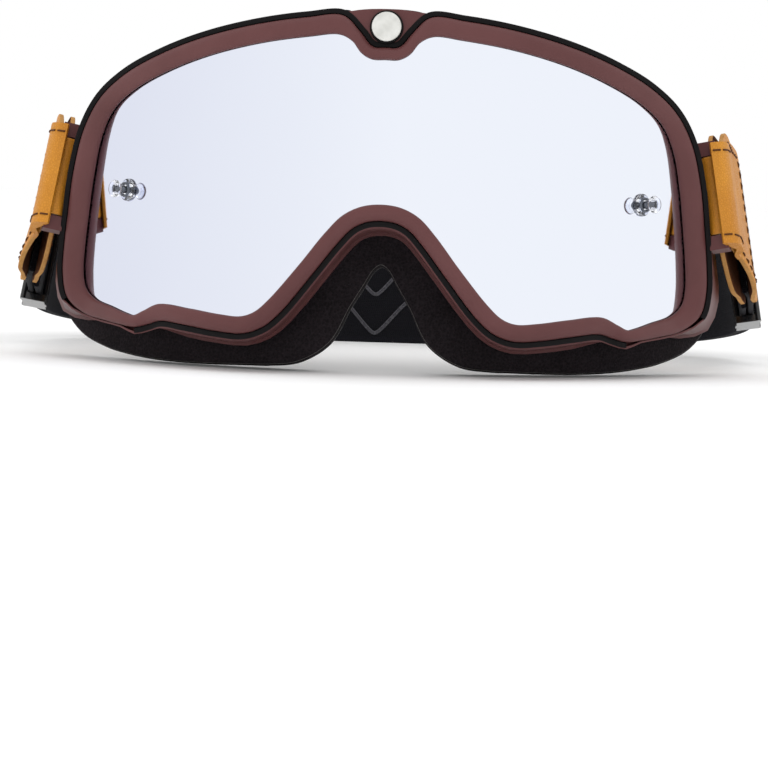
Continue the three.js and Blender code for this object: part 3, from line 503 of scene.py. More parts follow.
def silicone():
    f = Finish("silicone", Specular_IOR_Level=0.5, Coat_Weight=0.3)
    grain = f.noise(700, 3)
    f.set(Base_Color=f.mix(grain, tint(40, 38, 44), tint(64, 62, 70)), Roughness=grain * 0.1 + 0.22)
    return f.material


def gloss_black():
    f = Finish("gloss_black", Specular_IOR_Level=0.5, Coat_Weight=0.4, Coat_Roughness=0.08)
    broad = f.noise(60, 3)
    scuff = f.noise(1300, 4, 0.7).ramp(0.55, 0.8)
    f.set(
        Base_Color=f.mix(scuff * 0.5, tint(12, 12, 14), tint(34, 34, 38)),
        Roughness=broad * 0.08 + scuff * 0.15 + 0.14,
        Normal=f.relief(broad, 4e-5, f.soft_edges(4e-4)),
    )
    return f.material


def thread(name, low, high):
    f = Finish(name, Specular_IOR_Level=0.25)
    ply = f.noise(5200, 3)
    f.set(Base_Color=f.mix(ply, tint(*low), tint(*high)), Roughness=ply * 0.2 + 0.6, Normal=f.relief(ply, 5e-5))
    return f.material


def pale_floor():
    f = Finish("pale_floor", Specular_IOR_Level=0.1, Roughness=0.9)
    f.set(Emission_Color=(1, 1, 1, 1), Emission_Strength=0.06)
    grain = f.noise(3, 2)
    f.set(Base_Color=f.mix(grain, (0.93, 0.93, 0.93, 1), (0.95, 0.95, 0.95, 1)))
    return f.material


FRAME_BROWN = moulded_plastic("frame_brown", tint(86, 49, 49), tint(98, 59, 59), 0.38, 3.5e-4)
BEZEL_BROWN = moulded_plastic("bezel_brown", tint(87, 50, 50), tint(99, 60, 60), 0.34, 2.5e-4)
MIRROR = mirror_coating()
SMOKE = smoke_glass()
CLEAR = clear_plastic()
DARK_METAL = dark_metal()
RUBBER = rubber()
STUD_METAL = satin_metal("stud_metal", (205, 205, 200), (232, 232, 228), 0.35)
BAR_STEEL = satin_metal("bar_steel", (150, 150, 154), (190, 190, 194), 0.25)
# each foam's first colour is the painted shade in its pits
FACE_FOAM = open_foam("face_foam", (13, 11, 12), (40, 35, 38), 1500, 2.5e-4)
GREY_FOAM = open_foam("grey_foam", (62, 60, 60), (104, 102, 100), 1300, 2.0e-4)
FLEECE = fleece()
FILTER_FOAM = open_foam("filter_foam", (12, 12, 14), (40, 42, 47), 900, 5e-4)
# the last colour is the painted shade in the creases
LEATHER = grained_leather("mustard_leather", (192, 124, 28), (208, 140, 38), (128, 76, 16))
RAW_EDGE = suede("leather_edge", (160, 112, 62), (206, 158, 96))
# painted shade: the leather's back, inside the tab's loop, takes the dark brown of that shaded inside
LEATHER_BACK = suede("leather_back", (64, 32, 12), (104, 56, 22))
ELASTIC = woven_elastic()
SILICONE = silicone()
GLOSS_BLACK = gloss_black()
BROWN_THREAD = thread("brown_thread", (62, 33, 12), (98, 56, 22))
BLACK_THREAD = thread("black_thread", (20, 19, 22), (44, 42, 48))


# ---------------------------------------------------------------- mesh helpers
def new_piece(name, points, faces, materials, smooth=40, in_goggles=True):
    """A piece from points, in millimetres unless told otherwise, and faces, all facing out."""
    places = stand(points) if in_goggles else np.asarray(points)
    mesh = bpy.data.meshes.new(name)
    mesh.from_pydata(places.tolist(), [], faces)
    mesh.validate()
    for material in materials if isinstance(materials, list) else [materials]:
        mesh.materials.append(material)
    piece = bpy.data.objects.new(name, mesh)
    bpy.context.scene.collection.objects.link(piece)
    turn_out(mesh)
    mesh.shade_smooth()
    mesh.set_sharp_from_angle(angle=math.radians(smooth))
    return piece


def turn_out(mesh):
    """Makes every face of a closed mesh face outwards."""
    body = bmesh.new()
    body.from_mesh(mesh)
    bmesh.ops.recalc_face_normals(body, faces=body.faces)
    body.to_mesh(mesh)
    body.free()


def carry(piece, name, values):
    """Gives each point of the piece a number that its finish reads."""
    attribute = piece.data.attributes.new(name, "FLOAT", "POINT")
    attribute.data.foreach_set("value", np.asarray(values, np.float32))


def loft(rows, closed_rows=False, closed_section=True, capped=True):
    """Points and faces of a skin over rows of section points, an array of rows x section x 3."""
    rows = np.asarray(rows, float)
    count, size = rows.shape[:2]
    points = rows.reshape(-1, 3)
    faces = []
    for i in range(count if closed_rows else count - 1):
        for j in range(size if closed_section else size - 1):
            here, there = i * size, (i + 1) % count * size
            k = (j + 1) % size
            faces.append((here + j, here + k, there + k, there + j))
    if capped and closed_section and not closed_rows:
        points = np.vstack([points, rows[0].mean(0), rows[-1].mean(0)])
        for j in range(size):
            k = (j + 1) % size
            faces.append((len(points) - 2, k, j))
            faces.append((len(points) - 1, (count - 1) * size + j, (count - 1) * size + k))
    return points, faces


def two_skins(near, far):
    """A sheet between two grids of points, and each face's part: 0 near, 1 edge, 2 far."""
    count, tall = near.shape[:2]
    size = count * tall
    faces, parts = [], []
    index = lambda i, j: i * tall + j

    def edge(a, b):
        faces.append((a, b, size + b, size + a))
        parts.append(1)

    for i in range(count - 1):
        for j in range(tall - 1):
            quad = (index(i, j), index(i, j + 1), index(i + 1, j + 1), index(i + 1, j))
            faces.extend([quad, tuple(size + k for k in reversed(quad))])
            parts.extend([0, 2])
        for j in (0, tall - 1):
            edge(index(i, j), index(i + 1, j))
    for j in range(tall - 1):
        for i in (0, count - 1):
            edge(index(i, j), index(i, j + 1))
    return np.vstack([near.reshape(-1, 3), far.reshape(-1, 3)]), faces, parts


def turned(profile, segments=48):
    """Points and faces of a body turned about +Y. The profile starts and ends on the axis, or closes."""
    angles = np.linspace(0, 2 * math.pi, segments, endpoint=False)
    rows = [[(r * math.cos(a), h, r * math.sin(a)) for r, h in profile] for a in angles]
    return loft(rows, closed_rows=True, closed_section=False)


def tube(path, radius, sides=8, flat=1.0, up=None):
    """Points and faces of a round bar along a path, an array of points. flat squeezes it along up."""
    path = np.asarray(path, float)
    ahead = np.gradient(path, axis=0)
    ahead /= np.linalg.norm(ahead, axis=1, keepdims=True)
    up = np.broadcast_to((0, 0, 1.0) if up is None else up, path.shape)
    side = np.cross(ahead, up)
    side /= np.linalg.norm(side, axis=1, keepdims=True)
    high = np.cross(side, ahead)
    rows = []
    for a in np.linspace(0, 2 * math.pi, sides, endpoint=False):
        rows.append(path + radius * (math.cos(a) * side + flat * math.sin(a) * high))
    return loft(np.stack(rows, axis=1))


def joined(parts):
    """Several (points, faces) as one."""
    points, faces, start = [], [], 0
    for some, other in parts:
        points.append(some)
        faces += [tuple(start + i for i in face) for face in other]
        start += len(some)
    return np.vstack(points), faces


MIRROR_X = np.array([-1.0, 1.0, 1.0])


def pair(make):
    """Makes a right piece and its mirror image on the left: make(side, flip) for each."""
    for side, flip in (("right", np.ones(3)), ("left", MIRROR_X)):
        make(side, flip)


# ---------------------------------------------------------------- outlines round the face
LENS_RADIUS = 97
LENS_THICKNESS = 1.2
LENS_MARGIN = 1.8
LENS_HALF_WIDTH = 83.3
BROW_HEIGHT = 40.1
CHEEK_DEPTH = 34.4
CHEEK_CENTRE = 36.3
NOSE_DEPTH = 4.4
DIP_TOP = 33.6
FRAME_TOP = 47.2
NOTCH = 66.8
LIP_SET_BACK = 0.9
FRAME_DEPTH = 17.5
FOAM_DEPTH = 15.5
CHANNEL = 1.6


def blend_to(first, last, share):
    return first + (last - first) * share


def stations():
    """Down the right half of the lens edge: its point, the bezel's width, the lip's width, how far the wall
    splays out, the foam's overhang and the seat's width, with the frame's or the foam's own point if any."""
    along_brow = lambda share: blend_to(12.5, LENS_HALF_WIDTH - 14.3, share)
    down_side = lambda share: blend_to(BROW_HEIGHT - 17.8, 8.4 - CHEEK_DEPTH, share)
    along_cheek = lambda share: blend_to(NOTCH, CHEEK_CENTRE, share)
    flank = lambda across, down: (across * CHEEK_CENTRE, -blend_to(NOSE_DEPTH, CHEEK_DEPTH, down))
    nose_foam = lambda across, down: (across * CHEEK_CENTRE, -blend_to(19, CHEEK_DEPTH + 10.9, down))
    wide, high, low = LENS_HALF_WIDTH, BROW_HEIGHT, -CHEEK_DEPTH

    def under_cheek(share):
        across = blend_to(wide + 2.2, CHEEK_CENTRE - 6.5, share)
        return across, blend_to(low - 3.2, low - 12, share) - 4 * math.sin(math.pi * share**0.7)

    brow, side, cheek = (0.4, 1, 2.6, 6.5), (0.4, 1, 1.2, 4.6), (0.7, 0, 5.0, 6.5)
    return [
        ((0, DIP_TOP), 2.9, *brow, (0, FRAME_TOP), None),
        ((3.6, DIP_TOP + 0.1), 2.9, *brow, (4.2, FRAME_TOP - 0.1), None),
        ((6.4, DIP_TOP + 1.6), 2.9, *brow, (7.4, FRAME_TOP - 0.4), None),
        ((9.0, high - 1.7), 2.9, *brow, (10.4, FRAME_TOP - 0.8), None),
        ((along_brow(0), high), 4.8, *brow, None, None),
        ((along_brow(0.14), high - 0.6), 4.8, *brow, None, None),
        ((along_brow(0.37), high - 2.2), 4.8, *brow, None, None),
        ((along_brow(0.62), high - 5.1), 4.8, *brow, None, None),
        ((along_brow(0.83), high - 8.8), 4.8, *brow, None, None),
        ((along_brow(1), high - 13.1), 4.8, *brow, None, None),
        ((wide - 8.3, high - 17.8), 4.8, 0.4, 1, 2.4, 6.5, None, None),
        ((wide - 4.8, down_side(0.14)), 5.2, 0.4, 1, 1.8, 4.6, None, None),
        ((wide - 2.5, down_side(0.36)), 5.6, 0.4, 1.53, 1.2, 4.6, None, None),
        ((wide - 1.1, down_side(0.59)), 5.6, 0.4, 2.04, 1.2, 4.6, None, None),
        ((wide - 0.2, down_side(0.77)), 5.6, 0.4, 2.72, 1.2, 4.6, None, None),
        ((wide, down_side(0.91)), 5.6, 0.4, 3.4, 1.2, 4.6, None, None),
        ((wide - 1, down_side(1)), 5.6, 0.4, 2.55, 2.4, 4.6, None, None),
        ((wide - 4, 5.2 + low), 4.6, 0.5, 0, 5.0, 6.5, None, under_cheek(0)),
        ((wide - 9.3, 2.9 + low), 3.8, 0.5, -2.56, 5.0, 6.5, None, under_cheek(0.15)),
        ((NOTCH + 2.7, 1 + low), 3.0, 0.5, -3.2, 5.0, 6.5, None, under_cheek(0.26)),
        ((NOTCH, 0.3 + low), 2.8, 0.7, -3.2, 5.0, 6.5, None, under_cheek(0.35)),
        ((NOTCH - 2.8, 1.4 + low), 3.4, 0.7, -2.4, 5.0, 6.5, None, under_cheek(0.42)),
        ((along_cheek(0.24), 3.2 + low), 4.1, 0.7, -0.96, 5.0, 6.5, None, under_cheek(0.48)),
        ((along_cheek(0.52), 2 + low), 4.1, *cheek, None, under_cheek(0.61)),
        ((along_cheek(0.8), 0.5 + low), 4.1, *cheek, None, under_cheek(0.76)),
        ((along_cheek(1), low), 4.1, *cheek, None, under_cheek(0.9)),
        ((CHEEK_CENTRE - 3.6, 1.2 + low), 4.1, *cheek, None, under_cheek(1)),
        (flank(0.8, 0.855), 4.1, *cheek, None, nose_foam(0.59, 1)),
        (flank(0.58, 0.54), 3.8, *cheek, None, nose_foam(0.364, 0.8)),
        (flank(0.4, 0.26), 3.8, *cheek, None, nose_foam(0.22, 0.43)),
        (flank(0.275, 0.103), 3.8, *cheek, None, nose_foam(0.125, 0.21)),
        (flank(0.143, 0.023), 3.8, *cheek, None, nose_foam(0.055, 0.05)),
        (flank(0, 0), 3.8, *cheek, None, nose_foam(0, 0)),
    ]


STATIONS = stations()
ROUND = 2 * (len(STATIONS) - 1)
FIRST_OPEN, LAST_OPEN = 17, 19


def spline(points, place, closed):
    """A smooth centripetal curve through points, at place in spans from its first point."""
    points = np.asarray(points, float)
    if closed:
        ring = np.vstack([points[-1:], points, points[:2]])
    else:
        ring = np.vstack([2 * points[0] - points[1], points, 2 * points[-1] - points[-2]])
    spans = len(ring) - 3
    place = np.asarray(place, float)
    span = np.clip(np.floor(place).astype(int), 0, spans - 1)
    w = (place - span)[..., None]
    a, b, c, d = (ring[span + k] for k in range(4))
    step = lambda p, q: np.maximum(np.linalg.norm(q - p, axis=-1, keepdims=True) ** 0.5, 1e-4)
    g0, g1, g2 = step(a, b), step(b, c), step(c, d)
    leave = ((b - a) / g0 - (c - a) / (g0 + g1) + (c - b) / g1) * g1
    arrive = ((c - b) / g1 - (d - b) / (g1 + g2) + (d - c) / g2) * g1
    square, cube = -3 * b + 3 * c - 2 * leave - arrive, 2 * b - 2 * c + leave + arrive
    return b + w * (leave + w * (square + w * cube))


class Outline:
    """A smooth closed outline in the XZ plane. t runs clockwise from the brow, once round from 0 to 1."""

    def __init__(self, half):
        half = np.array(half, float)
        self.points = np.vstack([half, half[-2:0:-1] * (-1, 1)])

    def point(self, t):
        return spline(self.points, np.mod(t, 1.0) * len(self.points), True)

    def outward(self, t):
        along = self.point(np.add(t, 1e-3)) - self.point(np.subtract(t, 1e-3))
        along /= np.linalg.norm(along, axis=-1, keepdims=True)
        return np.stack([-along[..., 1], along[..., 0]], -1)

    def at(self, t, offset, depth):
        """The point that lies offset outside the outline, at a depth that may depend on x."""
        place = self.point(t) + self.outward(t) * np.asarray(offset, float)[..., None]
        y = depth(place[..., 0]) if callable(depth) else np.broadcast_to(depth, place[..., 0].shape)
        return np.stack([place[..., 0], y, place[..., 1]], -1)


def stepped_out(outline, distances):
    flat = [outline.at(i / ROUND, distance, 0.0) for i, distance in enumerate(distances)]
    return [(place[0], place[2]) for place in flat]


is_open = [FIRST_OPEN <= i <= LAST_OPEN for i in range(len(STATIONS))]
channel = [2 * GAP if o else CHANNEL for o in is_open]
lens_edge = Outline([s[0] for s in STATIONS])
rim_edge = Outline(stepped_out(lens_edge, [s[1] for s in STATIONS]))
channel_edge = Outline(stepped_out(rim_edge, channel))
frame_half = stepped_out(rim_edge, [wide + s[2] for wide, s in zip(channel, STATIONS)])
frame_edge = Outline([s[6] or place for s, place in zip(STATIONS, frame_half)])
flange_edge = Outline(stepped_out(frame_edge, [s[3] + 0.8 for s in STATIONS]))
seat_edge = Outline(stepped_out(frame_edge, [-s[5] for s in STATIONS]))
foam_half = stepped_out(frame_edge, [s[4] for s in STATIONS])
foam_edge = Outline([s[7] or place for s, place in zip(STATIONS, foam_half)])


def on_lens(depth):
    return lambda x: LENS_RADIUS - np.sqrt((LENS_RADIUS - depth) ** 2 - np.square(x))


def curve_through(middle, across, end):
    rise = end - middle
    radius = (across * across + rise * rise) / (2 * rise)
    return lambda x: middle + radius - np.sqrt(radius * radius - np.square(x))


FRAME_SIDE = max(x for x, _ in frame_half) + 3.4
SIDE_SEAT = float(on_lens(0)(LENS_HALF_WIDTH)) + 28.8
seat_y = curve_through(FRAME_DEPTH, FRAME_SIDE, SIDE_SEAT)
foam_y = curve_through(FRAME_DEPTH + FOAM_DEPTH, FRAME_SIDE, SIDE_SEAT + 10.1)
split_y = lambda x: 0.25 * seat_y(x) + 0.75 * foam_y(x)
GROOVE = LENS_THICKNESS + 0.8 + 2 * GAP
front_y = lambda t: on_lens(0)(lens_edge.point(t)[..., 0])
groove_y = lambda t: lens_edge.at(t, LENS_MARGIN + GAP, on_lens(GROOVE))[..., 1]


# ---------------------------------------------------------------- bezel and seals
def round_the_face(samples=1024):
    return np.arange(samples) / samples


RIM_SPREAD = 0.4


def make_bezel():
    t = round_the_face()
    inner, front = lens_edge.point(t), front_y(t)
    outer = rim_edge.point(t) + rim_edge.outward(t) * RIM_SPREAD
    # share of the way across, and rise in front of the lens
    crown = [(0, 0.2), (0, 0.62), (0.02, 0.9), (0.07, 1.2), (0.16, 1.42), (0.3, 1.5), (0.5, 1.42), (0.68, 1.2)]
    crown += [(0.82, 0.82), (0.92, 0.38), (0.975, -0.02), (1.0, -0.5)]
    rows = [lens_edge.at(t, 0.0, on_lens(-GAP))]
    for share, rise in crown:
        flat = blend_to(inner, outer, share)
        rows.append(np.stack([flat[:, 0], front - rise, flat[:, 1]], -1))
    back = groove_y(t) - 0.6
    rows.append(rim_edge.at(t, RIM_SPREAD, back))
    rows.append(lens_edge.at(t, LENS_MARGIN + GAP, back))
    rows.append(lens_edge.at(t, LENS_MARGIN + GAP, on_lens(-GAP)))
    points, faces = loft(np.stack(rows, 1), closed_rows=True)
    piece = new_piece("bezel_moulding", points, faces, [BEZEL_BROWN, RUBBER], smooth=50)
    # painted shade: the faces at the bezel's inner edge and under it take the black rubber finish, as the dark line
    # between bezel and mirror
    inner_wall = [int(j in (0, len(rows) - 1)) for j in range(len(rows))]
    piece.data.polygons.foreach_set("material_index", inner_wall * len(t))
    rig.replaces(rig.slot(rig.ride(piece, "frame"), "bezel_brown"), "front_bezel")


def make_seal(name, node, t0, t1):
    t = np.linspace(t0, t1, 600)
    front = front_y(t) + LIP_SET_BACK - 0.4
    back = np.minimum(front + 2.4, groove_y(t) - GAP)
    rows = [
        rim_edge.at(t, RIM_SPREAD + 0.1, back),
        rim_edge.at(t, RIM_SPREAD + 0.1, front + 0.25),
        rim_edge.at(t, RIM_SPREAD + 0.3, front),
        channel_edge.at(t, 0.05, front),
        channel_edge.at(t, 0.38, front + 0.14),
        channel_edge.at(t, 0.38, front + 0.32),
        channel_edge.at(t, -0.12, front + 0.36),
        channel_edge.at(t, -0.12, back),
    ]
    points, faces = loft(np.stack(rows, 1))
    piece = new_piece(name, points, faces, RUBBER)
    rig.replaces(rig.slot(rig.ride(piece, "frame"), "black_rubber"), node)


def make_gasket():
    t = round_the_face(512)
    front, back = on_lens(LENS_THICKNESS + GAP), on_lens(LENS_THICKNESS + GAP + 0.8)
    section = ((0.7, front), (LENS_MARGIN, front), (LENS_MARGIN, back), (0.7, back))
    rows = [lens_edge.at(t, offset, depth) for offset, depth in section]
    points, faces = loft(np.stack(rows, 1), closed_rows=True)
    piece = new_piece("lens_gasket_strip", points, faces, RUBBER)
    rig.replaces(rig.slot(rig.ride(piece, "frame"), "black_rubber"), "lens_gasket")


def make_lens():
    """The mirror in front and the smoke glass behind it, one closed sheet bent round the face."""
    t = np.linspace(0, 0.5, 1200)
    edge = lens_edge.at(t, LENS_MARGIN - 0.1, 0.0)
    widest = int(edge[:, 0].argmax())
    top, low = edge[: widest + 1], edge[widest:][::-1]
    share = np.linspace(0, 1, 140)
    across = np.sin(share * math.pi / 2) * edge[widest, 0]
    dense = lambda line: np.interp(across, np.maximum.accumulate(line[:, 0]), line[:, 2])
    high, bottom = dense(top), dense(low)
    x = np.concatenate([-across[:0:-1], across])
    high, bottom = (np.concatenate([z[:0:-1], z]) for z in (high, bottom))
    rise = np.linspace(0, 1, 40)
    z = bottom[:, None] + (high - bottom)[:, None] * rise
    wide = np.repeat(x[:, None], len(rise), 1)
    front = np.stack([wide, on_lens(0)(wide), z], -1)
    rear = np.stack([wide, on_lens(LENS_THICKNESS)(wide), z], -1)
    points, faces, _ = two_skins(front, rear)
    piece = new_piece("mirror_lens", points, faces, [MIRROR, SMOKE], smooth=30)
    normals = [polygon.normal.y for polygon in piece.data.polygons]
    for polygon, facing in zip(piece.data.polygons, normals):
        polygon.material_index = 0 if facing < -0.2 else 1
    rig.replaces(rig.slot(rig.ride(piece, "frame"), "mirror_lens"), "lens")


make_bezel()
make_seal("seal_upper", "bezel_seal_upper", -16 / ROUND, 16 / ROUND)
make_seal("seal_lower", "bezel_seal_lower", 20 / ROUND, 1 - 20 / ROUND)
make_gasket()
make_lens()


# ---------------------------------------------------------------- main frame
def moulded_copy(node, name, material, slot_name, body, angle=32):
    """The node's own shape with its facets smoothed, as a piece that stands for it."""
    mesh = frame["nodes"][node].data.copy()
    mesh.name = name
    mesh.materials.clear()
    mesh.materials.append(material)
    piece = bpy.data.objects.new(name, mesh)
    bpy.context.scene.collection.objects.link(piece)
    if "custom_normal" in mesh.attributes:
        mesh.attributes.remove(mesh.attributes["custom_normal"])
    welded = bmesh.new()
    welded.from_mesh(mesh)
    bmesh.ops.remove_doubles(welded, verts=welded.verts, dist=2e-6)
    bmesh.ops.recalc_face_normals(welded, faces=welded.faces)
    welded.to_mesh(mesh)
    welded.free()
    mesh.shade_smooth()
    mesh.set_sharp_from_angle(angle=math.radians(angle))
    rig.replaces(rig.slot(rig.ride(piece, body), slot_name), node)
    return piece


moulded_copy("main_frame", "frame_moulding", FRAME_BROWN, "frame_brown", "frame")


# ---------------------------------------------------------------- foams
def make_foams():
    t = round_the_face(640)
    outer_half = flange_edge.at(t, 0.0, seat_y)
    inner_half = seat_edge.at(t, 0.0, seat_y)
    half = np.maximum(np.abs(outer_half[:, 0] - inner_half[:, 0]) / 2, 0.5)
    centre = (outer_half[:, 0] + inner_half[:, 0]) / 2
    slope = (seat_y(centre + half) - seat_y(centre - half)) / (2 * half)
    seat = lambda x: outer_half[:, 1] + slope * (x - outer_half[:, 0]) + 0.45
    inner = lambda depth, lift=0.0: seat_edge.at(t, -0.9 + lift, depth)
    outer = lambda depth, lift=0.0: foam_edge.at(t, lift, depth)

    def between(first, last, share):
        return lambda x: first(x) + (last(x) - first(x)) * share

    grey_top = between(seat, split_y, 0.16)
    rows = [
        outer(seat, -0.6),
        outer(between(seat, split_y, 0.03), -0.1),
        outer(between(seat, split_y, 0.12), 0.0),
        outer(grey_top, -0.25),
        inner(grey_top, 0.3),
        inner(between(seat, split_y, 0.08), 0.0),
        inner(seat, 0.4),
    ]
    shape = loft(np.stack(rows, 1), closed_rows=True)
    piece = new_piece("foam_backing", *shape, [GREY_FOAM, FACE_FOAM], smooth=60)
    piece.data.polygons.foreach_set("material_index", [1, 0, 0, 1, 1, 1, 1] * len(t))
    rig.padded(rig.slot(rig.ride(piece, "frame"), "face_foam"), fill=0.9)

    under = between(seat, split_y, 0.165)
    rows = [outer(under, -0.9)]
    outside = ((0.2, -0.15), (0.3, 0.1), (0.5, 0.25), (0.7, 0.2), (0.85, 0.0), (0.97, -0.2), (1.0, -0.8))
    for share, lift in outside:
        rows.append(outer(between(seat, split_y, share), lift))
    for share, lift in ((1.0, 0.6), (0.9, 0.1), (0.6, -0.2), (0.3, 0.0), (0.165, 0.5)):
        rows.append(inner(between(seat, split_y, share), lift))
    body = new_piece("foam_body", *loft(np.stack(rows, 1), closed_rows=True), FACE_FOAM, smooth=60)
    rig.replaces(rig.padded(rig.slot(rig.ride(body, "frame"), "face_foam"), fill=0.8), "foam_base")

    rows = []
    outside = ((0.02, -0.5), (0.08, -0.15), (0.25, 0.1), (0.5, 0.05), (0.75, -0.5), (0.92, -1.5), (1.0, -2.8))
    for share, lift in outside:
        rows.append(outer(between(split_y, foam_y, share), lift))
    middle = lambda share: blend_to(
        foam_edge.at(t, -2.8, foam_y), seat_edge.at(t, 1.6, foam_y), share
    )
    for share in (0.33, 0.66):
        rows.append(middle(share) + np.array([0, 0.25, 0]))
    for share, lift in ((1.0, 1.6), (0.9, 0.6), (0.7, -0.1), (0.4, -0.2), (0.1, 0.0), (0.02, 0.5)):
        rows.append(inner(between(split_y, foam_y, share), lift))
    face = new_piece("foam_fleece", *loft(np.stack(rows, 1), closed_rows=True), FLEECE, smooth=70)
    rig.replaces(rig.padded(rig.slot(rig.ride(face, "frame"), "fleece"), fill=0.7), "foam_face")


make_foams()


VENT_MIDDLE = GROOVE + 2.0


def cavity_y(x):
    """The depth at which the vent windows' middles lie."""
    return (on_lens(VENT_MIDDLE)(x) + seat_y(x) - 1.8) / 2


def along_wall(first, last, count):
    """Places on the frame's edge between two distances out from the middle."""
    line = np.linspace(0, 12 / ROUND, 2000)
    ends = np.interp([first, last], frame_edge.point(line)[:, 0], line)
    return np.linspace(*ends, count)


def make_filter(name, t, outer, inner, reach, counts, node=None):
    """Filter foam between two offsets from the frame's edge. outer takes -1 to 1 across the window."""
    at = lambda offset, a: frame_edge.at(t, offset, lambda x: cavity_y(x) + a * reach)
    outside, inside = counts
    section = [at(outer(a), a) for a in np.linspace(-1, 1, outside)]
    section += [at(inner, a) for a in np.linspace(1, -1, inside)]
    points, faces = loft(np.stack(section, 1))

    def build(side, flip):
        piece = new_piece(f"{name}_{side}", points * flip, faces, FILTER_FOAM, smooth=60)
        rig.padded(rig.slot(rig.ride(piece, "frame"), "filter_foam"), fill=1.0)
        if node:
            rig.replaces(piece, f"{node}_{side}")

    pair(build)


# the foam stands up through each window, and a wider pad of it lies behind
VENT_WINDOWS = {"inner": (16, 35), "outer": (44, 61)}
SLAB_GAP = 0.7
FOAM_LAP = 1.4
for place, (first, last) in VENT_WINDOWS.items():
    line = along_wall(first + SLAB_GAP, last - SLAB_GAP, 40)
    make_filter(f"filter_slab_{place}", line, lambda a: 1.1 - 0.6 * a**4, -2.1, 2.3, (13, 5))
for place, (first, last) in VENT_WINDOWS.items():
    line = along_wall(first - FOAM_LAP, last + FOAM_LAP, 60)
    skin = lambda a: -2.45 + 0.25 * (1 - a * a)
    make_filter(f"filter_{place}", line, skin, -4.8, 3.1, (17, 9), f"vent_foam_{place}")


# ---------------------------------------------------------------- tear-off posts, badge
POST_OUT = LENS_HALF_WIDTH - 13.7
POST_ANGLE = math.asin(POST_OUT / LENS_RADIUS)
POST_NORMAL = np.array([math.sin(POST_ANGLE), -math.cos(POST_ANGLE), 0])
POST_PLACE = np.array([POST_OUT, float(on_lens(0)(POST_OUT)), 0])


def on_post(body):
    """Stands a body turned about +Y on the lens."""
    points, faces = body
    side = np.array([POST_NORMAL[1], -POST_NORMAL[0], 0])
    basis = np.stack([side, POST_NORMAL, (0, 0, 1)])
    return points @ basis + POST_PLACE, faces


def make_posts():
    clear = on_post(turned([
        (0, -2.6), (1.3, -2.6), (1.3, 0.05), (2.9, 0.05), (3.1, 0.2), (3.05, 0.5), (2.6, 0.75), (1.7, 0.95),
        (1.3, 1.3), (1.2, 2.4), (1.25, 3.5), (1.6, 3.9), (2.1, 4.1), (2.35, 4.4), (2.35, 4.9), (2.1, 5.3),
        (1.5, 5.55), (0.8, 5.6), (0, 5.6),
    ]))
    core = on_post(turned([(0, -2.3), (0.6, -2.3), (0.6, 3.2), (0.45, 3.4), (0, 3.4)], 24))
    ring = on_post(turned([
        (1.45, 1.1), (1.9, 1.05), (2.1, 1.3), (2.0, 1.7), (1.6, 1.8), (1.42, 1.6), (1.45, 1.1),
    ], 32))
    washer = on_post(turned([(1.6, -2.3), (3.8, -2.3), (3.8, -1.7), (3.6, -1.5), (1.6, -1.5), (1.6, -2.3)], 48))

    def build(side, flip):
        head = new_piece(f"post_clear_{side}", clear[0] * flip, clear[1], CLEAR)
        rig.replaces(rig.slot(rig.ride(head, "frame"), "clear_plastic"), f"tearoff_post_{side}")
        for name, (points, faces) in (("post_core", core), ("post_ring", ring)):
            piece = new_piece(f"{name}_{side}", points * flip, faces, DARK_METAL)
            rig.slot(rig.ride(piece, "frame"), "satin_steel")
        under = new_piece(f"post_backing_{side}", washer[0] * flip, washer[1], RUBBER)
        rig.replaces(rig.slot(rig.ride(under, "frame"), "black_rubber"), f"post_washer_{side}")

    pair(build)


def make_badge():
    height = FRAME_TOP - 4.9

    def on_web(body):
        points, faces = body
        return points * (1, -1, 1) + (0, LIP_SET_BACK, height), faces

    stud = on_web(turned([
        (0, -3), (1.4, -3), (1.4, 1.15), (3.6, 1.15), (3.86, 1.3), (3.9, 1.6), (3.82, 1.85), (3.6, 2.02),
        (3.2, 2.1), (1.5, 2.14), (0, 2.15),
    ], 72))
    ring = on_web(turned([
        (1.7, 0.1), (4.25, 0.1), (4.42, 0.3), (4.42, 0.75), (4.3, 0.98), (4.1, 1.08), (1.7, 1.08), (1.7, 0.1),
    ], 72))
    piece = new_piece("stud_cap", *stud, STUD_METAL, smooth=30)
    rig.replaces(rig.slot(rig.ride(piece, "frame"), "satin_steel"), "badge_stud")
    piece = new_piece("stud_ring", *ring, RUBBER)
    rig.replaces(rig.slot(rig.ride(piece, "frame"), "black_rubber"), "badge_ring")


make_posts()
make_badge()


# ---------------------------------------------------------------- strap bars and leather tabs
BAR = np.array([91.162, 50.891, 4.65])
SPLAY, FALL, TILT = math.radians(13.5), math.radians(6), math.radians(10.5)
TAB_ALONG = np.array([math.sin(SPLAY) * math.cos(FALL), math.cos(SPLAY) * math.cos(FALL), -math.sin(FALL)])
BAR_UP = np.array([-math.sin(TILT), 0, math.cos(TILT)])
BAR_UP = BAR_UP - TAB_ALONG * BAR_UP.dot(TAB_ALONG)
BAR_UP /= np.linalg.norm(BAR_UP)
TAB_OUT = np.cross(TAB_ALONG, BAR_UP)
TAB_LENGTH = 48
PLY = 1.4


def on_bar(points):
    """Points along the tab, out through it and up the bar, in the goggles' own axes."""
    return np.asarray(points, float) @ np.stack([TAB_ALONG, TAB_OUT, BAR_UP]) + BAR


def make_bars():
    reach = 14.3
    points, faces = turned([
        (0, -reach), (1.15, -reach), (1.4, 0.3 - reach), (1.4, reach - 0.3), (1.15, reach), (0, reach),
    ], 32)
    points = on_bar(points[:, [0, 2, 1]])

    def build(side, flip):
        piece = new_piece(f"bar_pin_{side}", points * flip, faces, BAR_STEEL)
        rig.replaces(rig.slot(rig.ride(piece, "frame"), "satin_steel"), f"strap_bar_{side}")

    pair(build)


